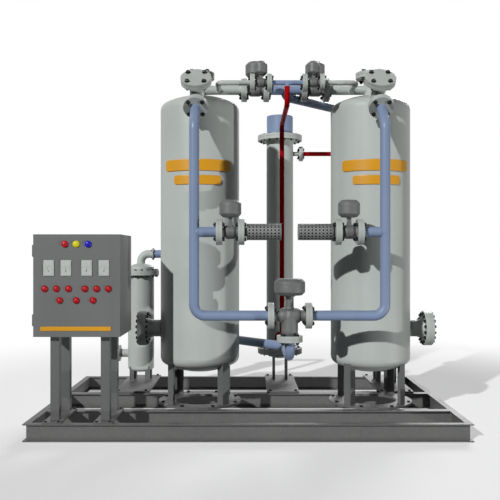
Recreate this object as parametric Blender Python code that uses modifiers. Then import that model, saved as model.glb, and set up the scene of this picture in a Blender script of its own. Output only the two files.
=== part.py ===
"""Twin-tower heated-purge desiccant air dryer on a skid.

Metres, +Z up, +X along the skid to the right, -Y to the front.
The origin lies on the floor under the middle of the skid.
Tower A is on the left and tower B on the right, mirrored about the plane x = MIDDLE_X.
"""

import math
from collections import namedtuple

import bmesh
import bpy
from mathutils import Matrix, Vector

# Fits
GAP = 0.0003
BUTTON_CLEARANCE = 0.0004
STEM_CLEARANCE = 0.0008
WELD_DEPTH = 0.002

# Roundness
SHELL_SEGMENTS = 24
VESSEL_SEGMENTS = 17
ROUND_SEGMENTS = 12
SMALL_SEGMENTS = 10
PIN_SEGMENTS = 8
STEM_SEGMENTS = 12
PIPE_RESOLUTION = 2
BEND_STEP = math.radians(30)
HEAD_STEPS = 2
STAGGER = 0.3  # keeps the edges of crossing round pieces from meeting
SHARP_ANGLE = math.radians(32)

# Skid
SKID_LENGTH = 3.80
SKID_WIDTH = 2.32
BEAM_HEIGHT = 0.15
BEAM_WIDTH = 0.06
BEAM_WEB = 0.008
BEAM_FLANGE = 0.010
INNER_BEAM_WIDTH = 0.08
BASE_PLATE = 0.02

# Towers
MIDDLE_X = 0.3595
TOWER_SPACING = 1.657
TOWER_Y = -0.225
TOWER_RADIUS = 0.381
TOWER_LOW = 0.595
TOWER_SHELL = 2.371
CROWN_RATIO = 2.0
KNUCKLE_RATIO = 0.2
HEAD_RATIO = CROWN_RATIO - math.sqrt((CROWN_RATIO - KNUCKLE_RATIO) ** 2 - (1 - KNUCKLE_RATIO) ** 2)
TOWER_HIGH = TOWER_LOW + TOWER_SHELL
TOWER_APEX = TOWER_HIGH + HEAD_RATIO * TOWER_RADIUS
TOWER_FRONT_Y = TOWER_Y - TOWER_RADIUS
NECK_RADIUS = 0.0625
NECK_LENGTH = 0.17
COVER_RADIUS = 0.139
COVER_THICKNESS = 0.030

# Shoulder tee at each tower's front, leaning 45 degrees
TEE_RADIUS = 0.0635
TEE_STANDOFF = 0.041
TEE_REACH = TOWER_RADIUS + TEE_STANDOFF
TEE_RISE = 0.076
TEE_RUN = 0.118
TEE_ROOT = 0.24
TEE_BRANCH = 0.200

# Manway on each tower's outer side
MANWAY_RISE = 0.266
MANWAY_Z = TOWER_LOW + MANWAY_RISE
MANWAY_NECK_RADIUS = 0.081
MANWAY_STANDOFF = 0.131
MANWAY_REACH = TOWER_RADIUS + MANWAY_STANDOFF
MANWAY_RADIUS = 0.16625
MANWAY_THICKNESS = 0.0398

# Tower stands, and the inner beams under their base rings
RING_PROUD = 0.019
RING_WIDTH = 0.15
RING_SEAT = 0.045
RING_OUTER = TOWER_RADIUS + RING_PROUD
RING_INNER = RING_OUTER - RING_WIDTH
LEG_INSET = 0.051
LEG_CIRCLE = TOWER_RADIUS - LEG_INSET
LEG_SECTION = 0.075
LEG_WALL = 0.008
BEAM_OFFSET = RING_OUTER + INNER_BEAM_WIDTH / 2 - RING_SEAT
FRONT_BEAM_Y = TOWER_Y - BEAM_OFFSET
REAR_BEAM_Y = TOWER_Y + BEAM_OFFSET

# Pipework
PIPE_RADIUS = 0.04445
SMALL_PIPE_RADIUS = 0.02415
PIPE_BEND = 0.10
SMALL_BEND = 0.05
FLANGE_RADIUS = 0.1125
FLANGE_THICKNESS = 0.0272
SMALL_FLANGE_RADIUS = 0.083
SMALL_FLANGE_THICKNESS = 0.0217
THIN_FLANGE_RADIUS = 0.066
THIN_FLANGE_THICKNESS = 0.009
OUTLET_RISE = 0.0644
OUTLET_Z = TOWER_APEX + OUTLET_RISE
OUTLET_DROP = 0.064
PURGE_STANDOFF = 0.36
PURGE_Y = TOWER_Y - PURGE_STANDOFF
PURGE_FALL = 0.016
PURGE_Z = OUTLET_Z - PURGE_FALL
PURGE_INSET = 0.189
PURGE_TAKEOFF = TOWER_SPACING / 2 - PURGE_INSET
RISER_STANDOFF = 0.369
RISER_Y = TOWER_FRONT_Y - RISER_STANDOFF
EXHAUST_SHARE = 0.4968
EXHAUST_Z = TOWER_LOW + EXHAUST_SHARE * TOWER_SHELL
INLET_VALVE_RISE = 0.453
INLET_VALVE_Z = TOWER_LOW + INLET_VALVE_RISE
INLET_FALL = 0.36
INLET_LOW_Z = INLET_VALVE_Z - INLET_FALL
INLET_TURN = 0.045
INLET_TURN_Y = TOWER_Y - INLET_TURN
HOT_PURGE_FALL = 0.202
HOT_PURGE_HIGH_Z = PURGE_Z - HOT_PURGE_FALL
HOT_PURGE_LOW_Z = 0.66

# Places of the valves, measured from the plane between the towers
OUTLET_VALVE_OFFSET = 0.2915
PURGE_VALVE_OFFSET = 0.242
EXHAUST_VALVE_OFFSET = 0.514

# Mufflers
MUFFLER_RADIUS = 0.0715
MUFFLER_LENGTH = 0.30
MUFFLER_STUB_RADIUS = 0.041
MUFFLER_STUB = 0.0190
MUFFLER_CHAMFER = 0.006

# Filters and heater
FILTER_INSET = 0.375
FILTER_Y = SKID_WIDTH / 2 - FILTER_INSET
PREFILTER_INSET = 0.70
PREFILTER_X = PREFILTER_INSET - SKID_LENGTH / 2
AFTERFILTER_INSET = 0.375
AFTERFILTER_X = SKID_LENGTH / 2 - AFTERFILTER_INSET
INLET_RUN = 0.60
INLET_CORNER_X = PREFILTER_X + INLET_RUN
FILTER_RADIUS = 0.1445
FILTER_LOW = 0.325
FILTER_JOINT_Z = 1.3745
FILTER_FLANGE_RADIUS = 0.20
FILTER_HEAD_COLLAR = 0.022
FILTER_NOZZLE_Z = 0.476
FILTER_NOZZLE_REACH = 0.25
FILTER_NOZZLE_FLANGE_RADIUS = 0.09
FILTER_NOZZLE_FLANGE = 0.02
NOZZLE_BORE_RADIUS = 0.039
NOZZLE_BORE_DEPTH = 0.10
FILTER_LEG_OFFSET = 0.085
FILTER_LEG_SECTION = 0.05
FILTER_LEG_TOP = 0.34
FILTER_ELBOW_RISE = 0.2095
FILTER_ELBOW_Z = FILTER_JOINT_Z + FILTER_ELBOW_RISE
FILTER_ELBOW_REACH = 0.136
FILTER_ELBOW_BEND = 0.085
AFTERFILTER_JOINT_RISE = 0.2255
AFTERFILTER_JOINT_Z = FILTER_JOINT_Z + AFTERFILTER_JOINT_RISE
FOOT_PLATE_WIDTH = 0.36
FOOT_PLATE_SEAT = 0.015
FOOT_PLATE_MARGIN = 0.02
FOOT_PLATE_FRONT_Y = REAR_BEAM_Y - FOOT_PLATE_SEAT
FOOT_PLATE_REAR_Y = SKID_WIDTH / 2 - FOOT_PLATE_MARGIN
HEATER_INSET = 0.265
HEATER_Y = SKID_WIDTH / 2 - HEATER_INSET
HEATER_RADIUS = 0.151
HEATER_LOW = 0.462
HEATER_FALL = 0.0725
HEATER_HIGH = TOWER_HIGH - HEATER_FALL
HEATER_FLANGE_RADIUS = 0.25
HEATER_FLANGE_THICKNESS = 0.031
HEATER_HOUSING_RADIUS = 0.1485
HEATER_HOUSING_HEIGHT = 0.218
HEATER_NOZZLE_FALL = 0.1735
HEATER_NOZZLE_Z = HEATER_HIGH - HEATER_NOZZLE_FALL
HEATER_NOZZLE_REACH = 0.2385
HEATER_FRONT_REACH = 0.20
HOT_PURGE_STANDOFF = 0.48
HOT_PURGE_BACK_Y = HEATER_Y - HOT_PURGE_STANDOFF
HEATER_LEG_OFFSET = 0.07
HEATER_LEG_WIDTH = 0.026
HEATER_PLATE_WIDTH = 0.33

# Control cabinet
CABINET_INSET = 0.079
CABINET_LEFT_X = CABINET_INSET - SKID_LENGTH / 2
CABINET_WIDTH = 0.736
CABINET_SETBACK = 0.045
CABINET_FRONT_Y = CABINET_SETBACK - SKID_WIDTH / 2
CABINET_DEPTH = 0.56
CABINET_LOW_Z = 0.879
CABINET_HEIGHT = 0.87
CABINET_WALL = 0.004
DOOR_DEPTH = 0.020
DOOR_SHEET = 0.004
MOUNTING_PLATE = 0.004
MOUNTING_STANDOFF = 0.030
MOUNTING_MARGIN = 0.06
HINGE_RADIUS = 0.007
HINGE_LENGTH = 0.05
HINGE_OFFSET = 0.009
HINGE_INSET = 0.14
LEAF_NEAR = HINGE_RADIUS / 3
LEAF_FAR = HINGE_RADIUS * 0.9
LAMP_RADIUS = 0.025
LAMP_HEIGHT = 0.018
METER_WIDTH = 0.087
METER_HEIGHT = 0.131
METER_PROUD = 0.008
BUTTON_RADIUS = 0.023
BUTTON_PROUD = 0.020
BUTTON_SHANK = 0.008
BUTTON_DOME = 0.010
BUTTON_CROWN = ((0.55, 0.22), (0.87, 0.55))  # shares of the radius, and of the dome's height
BUSHING_WALL = 0.004
BUSHING_DEPTH = 0.012

# Rows on the door, by their distance below its top edge, and places as shares of its width
LAMP_ROW = 0.083
LAMP_PLACES = (0.364, 0.4945, 0.633)
METER_ROW = 0.285
METER_PLACES = (0.180, 0.379, 0.617, 0.815)
BUTTON_ROWS = (
    (0.4615, (0.133, 0.269, 0.4075, 0.5965, 0.731, 0.8655)),
    (0.560, (0.3055, 0.4975, 0.689)),
)

# Cabinet stand
POST_SECTION = 0.075
POST_INSET = 0.163
POST_SPACING = 0.432
POST_SETBACK = 0.1075
POST_LEFT_X = CABINET_LEFT_X + POST_INSET
POST_RIGHT_X = POST_LEFT_X + POST_SPACING
POST_FRONT_Y = CABINET_FRONT_Y + POST_SETBACK
POST_REAR_Y = FRONT_BEAM_Y - POST_SECTION / 2
POST_FOOT_WIDTH = 0.16
POST_FOOT_THICKNESS = 0.012
POST_FOOT_MARGIN = 0.012

Valve = namedtuple(
    "Valve",
    "half_length flange_radius flange_thickness neck_radius ball_radius ball_half "
    "column drum_radius drum_height stem_radius boss_height",
)
OUTLET_VALVE = Valve(0.1075, FLANGE_RADIUS, FLANGE_THICKNESS, 0.045, 0.0605, 0.062,
                     0.0615, 0.095, 0.147, 0.012, 0.012)
PURGE_VALVE = Valve(0.0795, SMALL_FLANGE_RADIUS, SMALL_FLANGE_THICKNESS, 0.030, 0.0445, 0.044,
                    0.0195, 0.060, 0.134, 0.008, 0.004)
EXHAUST_VALVE = Valve(0.095, FLANGE_RADIUS, FLANGE_THICKNESS, 0.045, 0.0605, 0.050,
                      0.0665, 0.095, 0.149, 0.012, 0.012)
BRACKET_WIDTH = 0.033
BRACKET_THICKNESS = 0.006
COUPLING_SHARE = 0.55
COUPLING_WIDE = 1.6  # times the stem's radius, as the next two
COUPLING_NARROW = 1.2
BOSS_RATIO = 1.5

# Three-way inlet valve
THREE_WAY_HALF = 0.1634
THREE_WAY_BARREL_RADIUS = 0.066
THREE_WAY_BARREL_HALF = 0.085
THREE_WAY_NECK_RADIUS = 0.048
THREE_WAY_LEG_RADIUS = 0.0725
THREE_WAY_DROP = 0.1995
THREE_WAY_BONNET_RADIUS = 0.035
THREE_WAY_BONNET_TOP = 0.177
THREE_WAY_DRUM_RADIUS = 0.134
THREE_WAY_DRUM_HEIGHT = 0.143

DRUM_CHAMFER = 0.028

Look = namedtuple("Look", "color roughness metallic")
STEEL_GREY = Look((0.135, 0.140, 0.137), 0.55, 0.0)
SHELL_WHITE = Look((0.42, 0.45, 0.43), 0.45, 0.0)
VALVE_GREY = Look((0.17, 0.18, 0.175), 0.50, 0.0)
PIPE_BLUE = Look((0.21, 0.29, 0.49), 0.40, 0.0)
PIPE_RED = Look((0.42, 0.004, 0.008), 0.40, 0.0)
BUTTON_RED = Look((0.50, 0.004, 0.012), 0.30, 0.0)
BRIGHT_STEEL = Look((0.55, 0.55, 0.55), 0.30, 0.9)

FRONT_UP = Vector((0.0, -1.0, 1.0)).normalized()
FRONT_DOWN = Vector((0.0, -1.0, -1.0)).normalized()
UP = Vector((0.0, 0.0, 1.0))

for old in list(bpy.data.objects):
    bpy.data.objects.remove(old, do_unlink=True)


def collection(name):
    made = bpy.data.collections.new(name)
    bpy.context.scene.collection.children.link(made)
    return made


DRYER = collection("desiccant_air_dryer")
TOOLS = collection("construction")


def piece(label, data, matrix=None):
    """An object to build with. It isn't part of the dryer until fuse() names it."""
    made = bpy.data.objects.new(label, data)
    TOOLS.objects.link(made)
    made.hide_render = True
    made.display_type = "WIRE"
    if matrix is not None:
        made.matrix_world = matrix
    return made


def pointing(start, direction):
    """Places local +Z at start, along direction."""
    turn = Vector(direction).to_track_quat("Z", "Y").to_matrix().to_4x4()
    return Matrix.Translation(Vector(start)) @ turn


def baked(source):
    """A mesh object in place of a curve or a modified object, with the same placement."""
    bpy.context.view_layer.update()
    depsgraph = bpy.context.evaluated_depsgraph_get()
    mesh = bpy.data.meshes.new_from_object(source.evaluated_get(depsgraph))
    made = piece(source.name, mesh, source.matrix_world.copy())
    bpy.data.objects.remove(source, do_unlink=True)
    return made


def welded(source):
    """Bakes a curve and welds its loose caps."""
    made = baked(source)
    solid = bmesh.new()
    solid.from_mesh(made.data)
    bmesh.ops.remove_doubles(solid, verts=solid.verts, dist=0.00001)
    bmesh.ops.recalc_face_normals(solid, faces=solid.faces)
    solid.to_mesh(made.data)
    solid.free()
    return made


def box(low, high):
    low, high = Vector(low), Vector(high)
    solid = bmesh.new()
    bmesh.ops.create_cube(solid, size=1.0)
    bmesh.ops.scale(solid, vec=high - low, verts=solid.verts)
    mesh = bpy.data.meshes.new("box")
    solid.to_mesh(mesh)
    solid.free()
    return piece("box", mesh, Matrix.Translation((low + high) / 2))


def rod(start, end, radius, segments=ROUND_SEGMENTS, phase=STAGGER):
    """A round bar; phase turns its first corner from local +X by that share of a step."""
    start, end = Vector(start), Vector(end)
    length = (end - start).length
    solid = bmesh.new()
    bmesh.ops.create_cone(
        solid, cap_ends=True, segments=segments, radius1=radius, radius2=radius, depth=length
    )
    bmesh.ops.translate(solid, vec=(0.0, 0.0, length / 2), verts=solid.verts)
    first_corner = 2 * math.pi * phase / segments - math.pi / 2
    turn = Matrix.Rotation(first_corner, 3, "Z")
    bmesh.ops.rotate(solid, matrix=turn, verts=solid.verts)
    mesh = bpy.data.meshes.new("rod")
    solid.to_mesh(mesh)
    solid.free()
    return piece("rod", mesh, pointing(start, end - start))


def turned(profile, base, direction=UP, segments=ROUND_SEGMENTS):
    """Revolves (radius, height) points, listed from the top of the axis down the outer side."""
    mesh = bpy.data.meshes.new("turned")
    corners = [(radius, 0.0, height) for radius, height in profile]
    mesh.from_pydata(corners, [(i, i + 1) for i in range(len(corners) - 1)], [])
    made = piece("turned", mesh, pointing(base, direction))
    screw = made.modifiers.new("Screw", "SCREW")
    screw.steps = segments
    screw.render_steps = segments
    screw.use_merge_vertices = True
    screw.merge_threshold = 0.00001
    return baked(made)


def extruded(outlines, depth, matrix):
    """A flat shape, given by its outer outline and then its holes, from local z = 0 to depth."""
    curve = bpy.data.curves.new("outline", "CURVE")
    curve.dimensions = "2D"
    curve.fill_mode = "BOTH"
    curve.extrude = depth / 2
    for outline in outlines:
        spline = curve.splines.new("POLY")
        spline.points.add(len(outline) - 1)
        for point, (x, y) in zip(spline.points, outline):
            point.co = (x, y, 0.0, 1.0)
        spline.use_cyclic_u = True
    return welded(piece("outline", curve, matrix @ Matrix.Translation((0.0, 0.0, depth / 2))))


def rounded(route, bend):
    """The route with each inner corner replaced by an arc of the bend radius."""
    points = [Vector(route[0])]
    for before, corner, after in zip(route, route[1:], route[2:]):
        corner = Vector(corner)
        back = (Vector(before) - corner).normalized()
        ahead = (Vector(after) - corner).normalized()
        turn = math.pi - back.angle(ahead)
        centre = corner + (back + ahead).normalized() * bend / math.cos(turn / 2)
        first = corner + back * bend * math.tan(turn / 2)
        spoke = first - centre
        axis = back.cross(ahead)
        steps = max(2, round(turn / BEND_STEP))
        for step in range(steps + 1):
            points.append(centre + Matrix.Rotation(-turn * step / steps, 3, axis) @ spoke)
    points.append(Vector(route[-1]))
    return points


def tube(route, radius, bend, trim_start=WELD_DEPTH):
    """A pipe along a route; its ends stop inside the flanges that close them."""
    curve = bpy.data.curves.new("tube", "CURVE")
    curve.dimensions = "3D"
    curve.bevel_depth = radius
    curve.bevel_resolution = PIPE_RESOLUTION
    curve.use_fill_caps = True
    points = rounded(route, bend)
    points[0] += (points[1] - points[0]).normalized() * trim_start
    points[-1] += (points[-2] - points[-1]).normalized() * WELD_DEPTH
    spline = curve.splines.new("POLY")
    spline.points.add(len(points) - 1)
    for point, place in zip(spline.points, points):
        point.co = (*place, 1.0)
    return welded(piece("tube", curve))


def fuse(name, look, pieces, cuts=()):
    """One part of the dryer: the union of the pieces, less the cuts."""
    body = pieces[0]
    tools = [("UNION", tool) for tool in pieces[1:]] + [("DIFFERENCE", tool) for tool in cuts]
    for operation, tool in tools:
        boolean = body.modifiers.new(operation.title(), "BOOLEAN")
        boolean.operation = operation
        boolean.solver = "EXACT"
        boolean.object = tool
    made = baked(body)
    for _, tool in tools:
        bpy.data.objects.remove(tool, do_unlink=True)
    TOOLS.objects.unlink(made)
    DRYER.objects.link(made)
    made.name = name
    made.data.name = name
    made.hide_render = False
    made.display_type = "TEXTURED"
    made.data.materials.clear()
    made.data.materials.append(material(name, look))
    made.data.shade_smooth()
    made.data.set_sharp_from_angle(angle=SHARP_ANGLE)
    return made


def material(name, look):
    made = bpy.data.materials.new(name)
    made.use_nodes = True
    shader = made.node_tree.nodes["Principled BSDF"]
    shader.inputs["Base Color"].default_value = (*look.color, 1.0)
    shader.inputs["Roughness"].default_value = look.roughness
    shader.inputs["Metallic"].default_value = look.metallic
    return made


def hinged_to(made, parent, axis_point):
    """Moves a part's origin to its joint's axis and parents it to an empty there."""
    pivot = bpy.data.objects.new(made.name + "_axis", None)
    DRYER.objects.link(pivot)
    pivot.location = axis_point
    if parent is not None:
        pivot.parent = parent
        pivot.location = Vector(axis_point) - parent.location
    made.data.transform(made.matrix_world)
    made.data.transform(Matrix.Translation(-Vector(axis_point)))
    made.matrix_world = Matrix.Identity(4)
    made.parent = pivot
    return pivot


def mirrored_x(side, offset):
    return MIDDLE_X + side * offset


def tower_x(side):
    return mirrored_x(side, TOWER_SPACING / 2)


def circle(radius, segments):
    turns = [2 * math.pi * i / segments for i in range(segments)]
    return [(radius * math.cos(turn), radius * math.sin(turn)) for turn in turns]


def dished(radius):
    """A torispherical head as (radius, height) points, from its apex to its tangent line."""
    crown = CROWN_RATIO * radius
    knuckle = KNUCKLE_RATIO * radius
    knuckle_centre = radius - knuckle
    drop = math.sqrt((crown - knuckle) ** 2 - knuckle_centre**2)
    joint = math.asin(knuckle_centre / (crown - knuckle))
    points = []
    for step in range(HEAD_STEPS + 1):
        angle = joint * step / HEAD_STEPS
        points.append((crown * math.sin(angle), crown * math.cos(angle) - drop))
    for step in range(1, HEAD_STEPS + 1):
        angle = joint + (math.pi / 2 - joint) * step / HEAD_STEPS
        points.append((knuckle_centre + knuckle * math.sin(angle), knuckle * math.cos(angle)))
    return points


def vessel_profile(radius, length):
    """A closed shell with two dished heads; height 0 is its lower tangent line."""
    head = dished(radius)
    upper = [(r, length + h) for r, h in head]
    lower = [(r, -h) for r, h in reversed(head)]
    return upper + lower


def flange(face, direction, radius, thickness, segments=ROUND_SEGMENTS):
    """A disc whose joint face is at face and whose back lies along direction."""
    face = Vector(face)
    return rod(face, face + Vector(direction).normalized() * thickness, radius, segments)


def skid():
    """I-beam perimeter and two inner beams, in three layers: lower flanges, webs, upper flanges."""
    web_inset = (BEAM_WIDTH - BEAM_WEB) / 2

    def layer(inset, rail, inner_beam, low, high):
        x, y = SKID_LENGTH / 2 - inset, SKID_WIDTH / 2 - inset
        half = inner_beam / 2
        edges = [rail - y, FRONT_BEAM_Y - half, FRONT_BEAM_Y + half]
        edges += [REAR_BEAM_Y - half, REAR_BEAM_Y + half, y - rail]
        outlines = [[(-x, -y), (x, -y), (x, y), (-x, y)]]
        for near, far in zip(edges[::2], edges[1::2]):
            outlines.append([(rail - x, near), (x - rail, near), (x - rail, far), (rail - x, far)])
        return extruded(outlines, high - low, Matrix.Translation((0.0, 0.0, low)))

    overlap = BEAM_FLANGE / 2
    pieces = [
        layer(0.0, BEAM_WIDTH, INNER_BEAM_WIDTH, 0.0, BEAM_FLANGE),
        layer(web_inset, BEAM_WEB, BEAM_WEB, overlap, BEAM_HEIGHT - overlap),
        layer(0.0, BEAM_WIDTH, INNER_BEAM_WIDTH, BEAM_HEIGHT - BEAM_FLANGE, BEAM_HEIGHT),
    ]
    fuse("skid_frame", STEEL_GREY, pieces)


def tower(tag, side):
    """Shell with dished heads, top neck, shoulder tee, manway neck and the two outlet branches."""
    x = tower_x(side)
    pieces = [
        turned(
            vessel_profile(TOWER_RADIUS, TOWER_SHELL),
            (x, TOWER_Y, TOWER_LOW),
            segments=SHELL_SEGMENTS,
        )
    ]

    top_face = Vector((x, TOWER_Y, TOWER_APEX + NECK_LENGTH + COVER_THICKNESS))
    neck_root = Vector((x, TOWER_Y, TOWER_APEX - NECK_RADIUS))
    pieces.append(rod(neck_root, top_face - UP * WELD_DEPTH, NECK_RADIUS))
    pieces.append(flange(top_face, -UP, COVER_RADIUS, COVER_THICKNESS))
    fuse(
        f"top_cover_{tag}",
        SHELL_WHITE,
        [flange(top_face + UP * GAP, UP, COVER_RADIUS, COVER_THICKNESS)],
    )

    tee = tee_centre(side)
    fill_face = tee + FRONT_UP * (TEE_RUN + COVER_THICKNESS)
    pieces.append(rod(tee - FRONT_UP * TEE_ROOT, fill_face - FRONT_UP * WELD_DEPTH, TEE_RADIUS))
    pieces.append(flange(fill_face, -FRONT_UP, COVER_RADIUS, COVER_THICKNESS))
    fuse(
        f"fill_cover_{tag}",
        SHELL_WHITE,
        [flange(fill_face + FRONT_UP * GAP, FRONT_UP, COVER_RADIUS, COVER_THICKNESS)],
    )
    tee_face = tee + FRONT_DOWN * TEE_BRANCH
    pieces.append(rod(tee, tee_face - FRONT_DOWN * WELD_DEPTH, TEE_RADIUS))
    pieces.append(flange(tee_face, -FRONT_DOWN, FLANGE_RADIUS, FLANGE_THICKNESS))

    outward = Vector((side, 0.0, 0.0))
    manway = Vector((x, TOWER_Y, MANWAY_Z))
    manway_face = manway + outward * (MANWAY_REACH + MANWAY_THICKNESS)
    inside = manway + outward * TOWER_RADIUS / 2
    pieces.append(rod(inside, manway_face - outward * WELD_DEPTH, MANWAY_NECK_RADIUS))
    pieces.append(
        flange(manway_face, -outward, MANWAY_RADIUS, MANWAY_THICKNESS, VESSEL_SEGMENTS)
    )
    fuse(
        f"manway_cover_{tag}",
        SHELL_WHITE,
        [
            flange(
                manway_face + outward * GAP,
                outward,
                MANWAY_RADIUS,
                MANWAY_THICKNESS,
                VESSEL_SEGMENTS,
            )
        ],
    )

    outlet_offset = OUTLET_VALVE_OFFSET + OUTLET_VALVE.half_length + GAP
    outlet_face = Vector((mirrored_x(side, outlet_offset), TOWER_Y, OUTLET_Z))
    pieces.append(tube([(x, TOWER_Y, OUTLET_Z), outlet_face], PIPE_RADIUS, PIPE_BEND))
    pieces.append(
        flange(outlet_face, outward, OUTLET_VALVE.flange_radius, OUTLET_VALVE.flange_thickness)
    )

    purge_offset = PURGE_VALVE_OFFSET + PURGE_VALVE.half_length + GAP
    purge_face = Vector((mirrored_x(side, purge_offset), PURGE_Y, PURGE_Z))
    takeoff_x = mirrored_x(side, PURGE_TAKEOFF)
    route = [(takeoff_x, TOWER_Y, PURGE_Z), (takeoff_x, PURGE_Y, PURGE_Z), purge_face]
    pieces.append(tube(route, SMALL_PIPE_RADIUS, SMALL_BEND))
    pieces.append(
        flange(purge_face, outward, PURGE_VALVE.flange_radius, PURGE_VALVE.flange_thickness)
    )
    fuse(f"tower_{tag}", SHELL_WHITE, pieces)


def tee_centre(side):
    return Vector((tower_x(side), TOWER_Y - TEE_REACH, TOWER_HIGH + TEE_RISE))


def stand(tag, side):
    """Base ring and four angle legs, trimmed to the tower's lower head."""
    x = tower_x(side)
    floor = BEAM_HEIGHT + GAP
    outlines = [circle(RING_OUTER, SHELL_SEGMENTS), circle(RING_INNER, SHELL_SEGMENTS)]
    pieces = [extruded(outlines, BASE_PLATE, Matrix.Translation((x, TOWER_Y, floor)))]
    outer, inner = LEG_SECTION, LEG_WALL
    angle_iron = [(0, 0), (outer, 0), (outer, inner), (inner, inner), (inner, outer), (0, outer)]
    height = TOWER_LOW - floor - WELD_DEPTH
    for quarter in range(4):
        place = math.pi / 4 + quarter * math.pi / 2
        leg_x = x + side * LEG_CIRCLE * math.cos(place)
        leg_y = TOWER_Y + LEG_CIRCLE * math.sin(place)
        corner = place + math.pi / 4
        if side < 0:
            corner = math.pi - corner
        turn = Matrix.Rotation(corner + math.radians(135), 4, "Z")
        spot = Matrix.Translation((leg_x, leg_y, floor + WELD_DEPTH))
        centred = Matrix.Translation((-outer / 2, -outer / 2, 0.0))
        pieces.append(extruded([angle_iron], height, spot @ turn @ centred))
    shell = turned(
        vessel_profile(TOWER_RADIUS + GAP, TOWER_SHELL),
        (x, TOWER_Y, TOWER_LOW),
        segments=SHELL_SEGMENTS,
    )
    fuse(f"stand_{tag}", STEEL_GREY, pieces, cuts=[shell])


def riser(tag, side):
    """From the tower's shoulder down the front to the inlet valve, with the exhaust branch."""
    x = tower_x(side)
    inward = Vector((-side, 0.0, 0.0))
    tee = tee_centre(side)
    start = tee + FRONT_DOWN * (TEE_BRANCH + GAP)
    fall = tee.y - RISER_Y
    corner = Vector((x, RISER_Y, tee.z - fall))
    end = Vector((mirrored_x(side, THREE_WAY_HALF + GAP), RISER_Y, INLET_VALVE_Z))
    route = [start, corner, (x, RISER_Y, INLET_VALVE_Z), end]
    branch_offset = EXHAUST_VALVE_OFFSET + EXHAUST_VALVE.half_length + GAP
    branch_face = Vector((mirrored_x(side, branch_offset), RISER_Y, EXHAUST_Z))
    pieces = [
        tube(route, PIPE_RADIUS, PIPE_BEND),
        flange(start, FRONT_DOWN, FLANGE_RADIUS, FLANGE_THICKNESS),
        flange(end, -inward, FLANGE_RADIUS, FLANGE_THICKNESS),
        tube([(x, RISER_Y, EXHAUST_Z), branch_face], PIPE_RADIUS, PIPE_BEND),
        flange(branch_face, -inward, EXHAUST_VALVE.flange_radius, EXHAUST_VALVE.flange_thickness),
    ]
    fuse(f"riser_{tag}", PIPE_BLUE, pieces)


def inlet_line():
    """From the prefilter's elbow, down and across the back of tower A, to the inlet valve."""
    start = Vector((PREFILTER_X + FILTER_ELBOW_REACH + GAP, FILTER_Y, FILTER_ELBOW_Z))
    end = Vector((MIDDLE_X, RISER_Y, INLET_VALVE_Z - THREE_WAY_DROP - GAP))
    route = [
        start,
        (INLET_CORNER_X, FILTER_Y, FILTER_ELBOW_Z),
        (INLET_CORNER_X, FILTER_Y, INLET_LOW_Z),
        (MIDDLE_X, INLET_TURN_Y, INLET_LOW_Z),
        (MIDDLE_X, RISER_Y, INLET_LOW_Z),
        end,
    ]
    pieces = [
        tube(route, PIPE_RADIUS, PIPE_BEND),
        flange(start, (1, 0, 0), THIN_FLANGE_RADIUS, THIN_FLANGE_THICKNESS),
        flange(end, -UP, FLANGE_RADIUS, FLANGE_THICKNESS),
    ]
    fuse("inlet_line", PIPE_BLUE, pieces)


def outlet_line():
    """Header between the outlet valves, and the line from it to the afterfilter."""
    half = OUTLET_VALVE_OFFSET - OUTLET_VALVE.half_length - GAP
    left = Vector((MIDDLE_X - half, TOWER_Y, OUTLET_Z))
    right = Vector((MIDDLE_X + half, TOWER_Y, OUTLET_Z))
    low = OUTLET_Z - OUTLET_DROP
    diagonal = FILTER_Y - TOWER_Y
    end = Vector((AFTERFILTER_X, FILTER_Y, AFTERFILTER_JOINT_Z + GAP))
    run = [
        (MIDDLE_X, TOWER_Y, OUTLET_Z),
        (MIDDLE_X, TOWER_Y, low),
        (MIDDLE_X + diagonal, FILTER_Y, low),
        (AFTERFILTER_X, FILTER_Y, low),
        end,
    ]
    supply_face = supply_joint()
    pieces = [
        tube([left, right], PIPE_RADIUS, PIPE_BEND),
        flange(left, (1, 0, 0), OUTLET_VALVE.flange_radius, OUTLET_VALVE.flange_thickness),
        flange(right, (-1, 0, 0), OUTLET_VALVE.flange_radius, OUTLET_VALVE.flange_thickness),
        tube(run, PIPE_RADIUS, OUTLET_DROP - WELD_DEPTH),
        flange(end, UP, THIN_FLANGE_RADIUS, THIN_FLANGE_THICKNESS),
        rod(
            (AFTERFILTER_X, FILTER_Y, HEATER_NOZZLE_Z),
            supply_face - Vector((0.0, WELD_DEPTH, 0.0)),
            SMALL_PIPE_RADIUS,
            SMALL_SEGMENTS,
        ),
        flange(supply_face, (0, -1, 0), THIN_FLANGE_RADIUS, THIN_FLANGE_THICKNESS),
    ]
    fuse("outlet_line", PIPE_BLUE, pieces)


def supply_joint():
    """Joint face of the purge supply branch on the outlet line."""
    reach = PIPE_RADIUS + 2 * THIN_FLANGE_THICKNESS
    return Vector((AFTERFILTER_X, FILTER_Y + reach, HEATER_NOZZLE_Z))


def purge_manifold():
    """Between the purge valves, with the boss that takes the hot purge line."""
    half = PURGE_VALVE_OFFSET - PURGE_VALVE.half_length - GAP
    left = Vector((MIDDLE_X - half, PURGE_Y, PURGE_Z))
    right = Vector((MIDDLE_X + half, PURGE_Y, PURGE_Z))
    middle = Vector((MIDDLE_X, PURGE_Y, PURGE_Z))
    pieces = [
        tube([left, right], SMALL_PIPE_RADIUS, SMALL_BEND),
        flange(left, (1, 0, 0), PURGE_VALVE.flange_radius, PURGE_VALVE.flange_thickness),
        flange(right, (-1, 0, 0), PURGE_VALVE.flange_radius, PURGE_VALVE.flange_thickness),
        rod(middle, hot_purge_top() + UP * GAP, SMALL_PIPE_RADIUS, SMALL_SEGMENTS),
    ]
    fuse("purge_manifold", PIPE_BLUE, pieces)


def hot_purge_top():
    return Vector((MIDDLE_X, PURGE_Y, PURGE_Z - SMALL_PIPE_RADIUS - THIN_FLANGE_THICKNESS))


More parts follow.
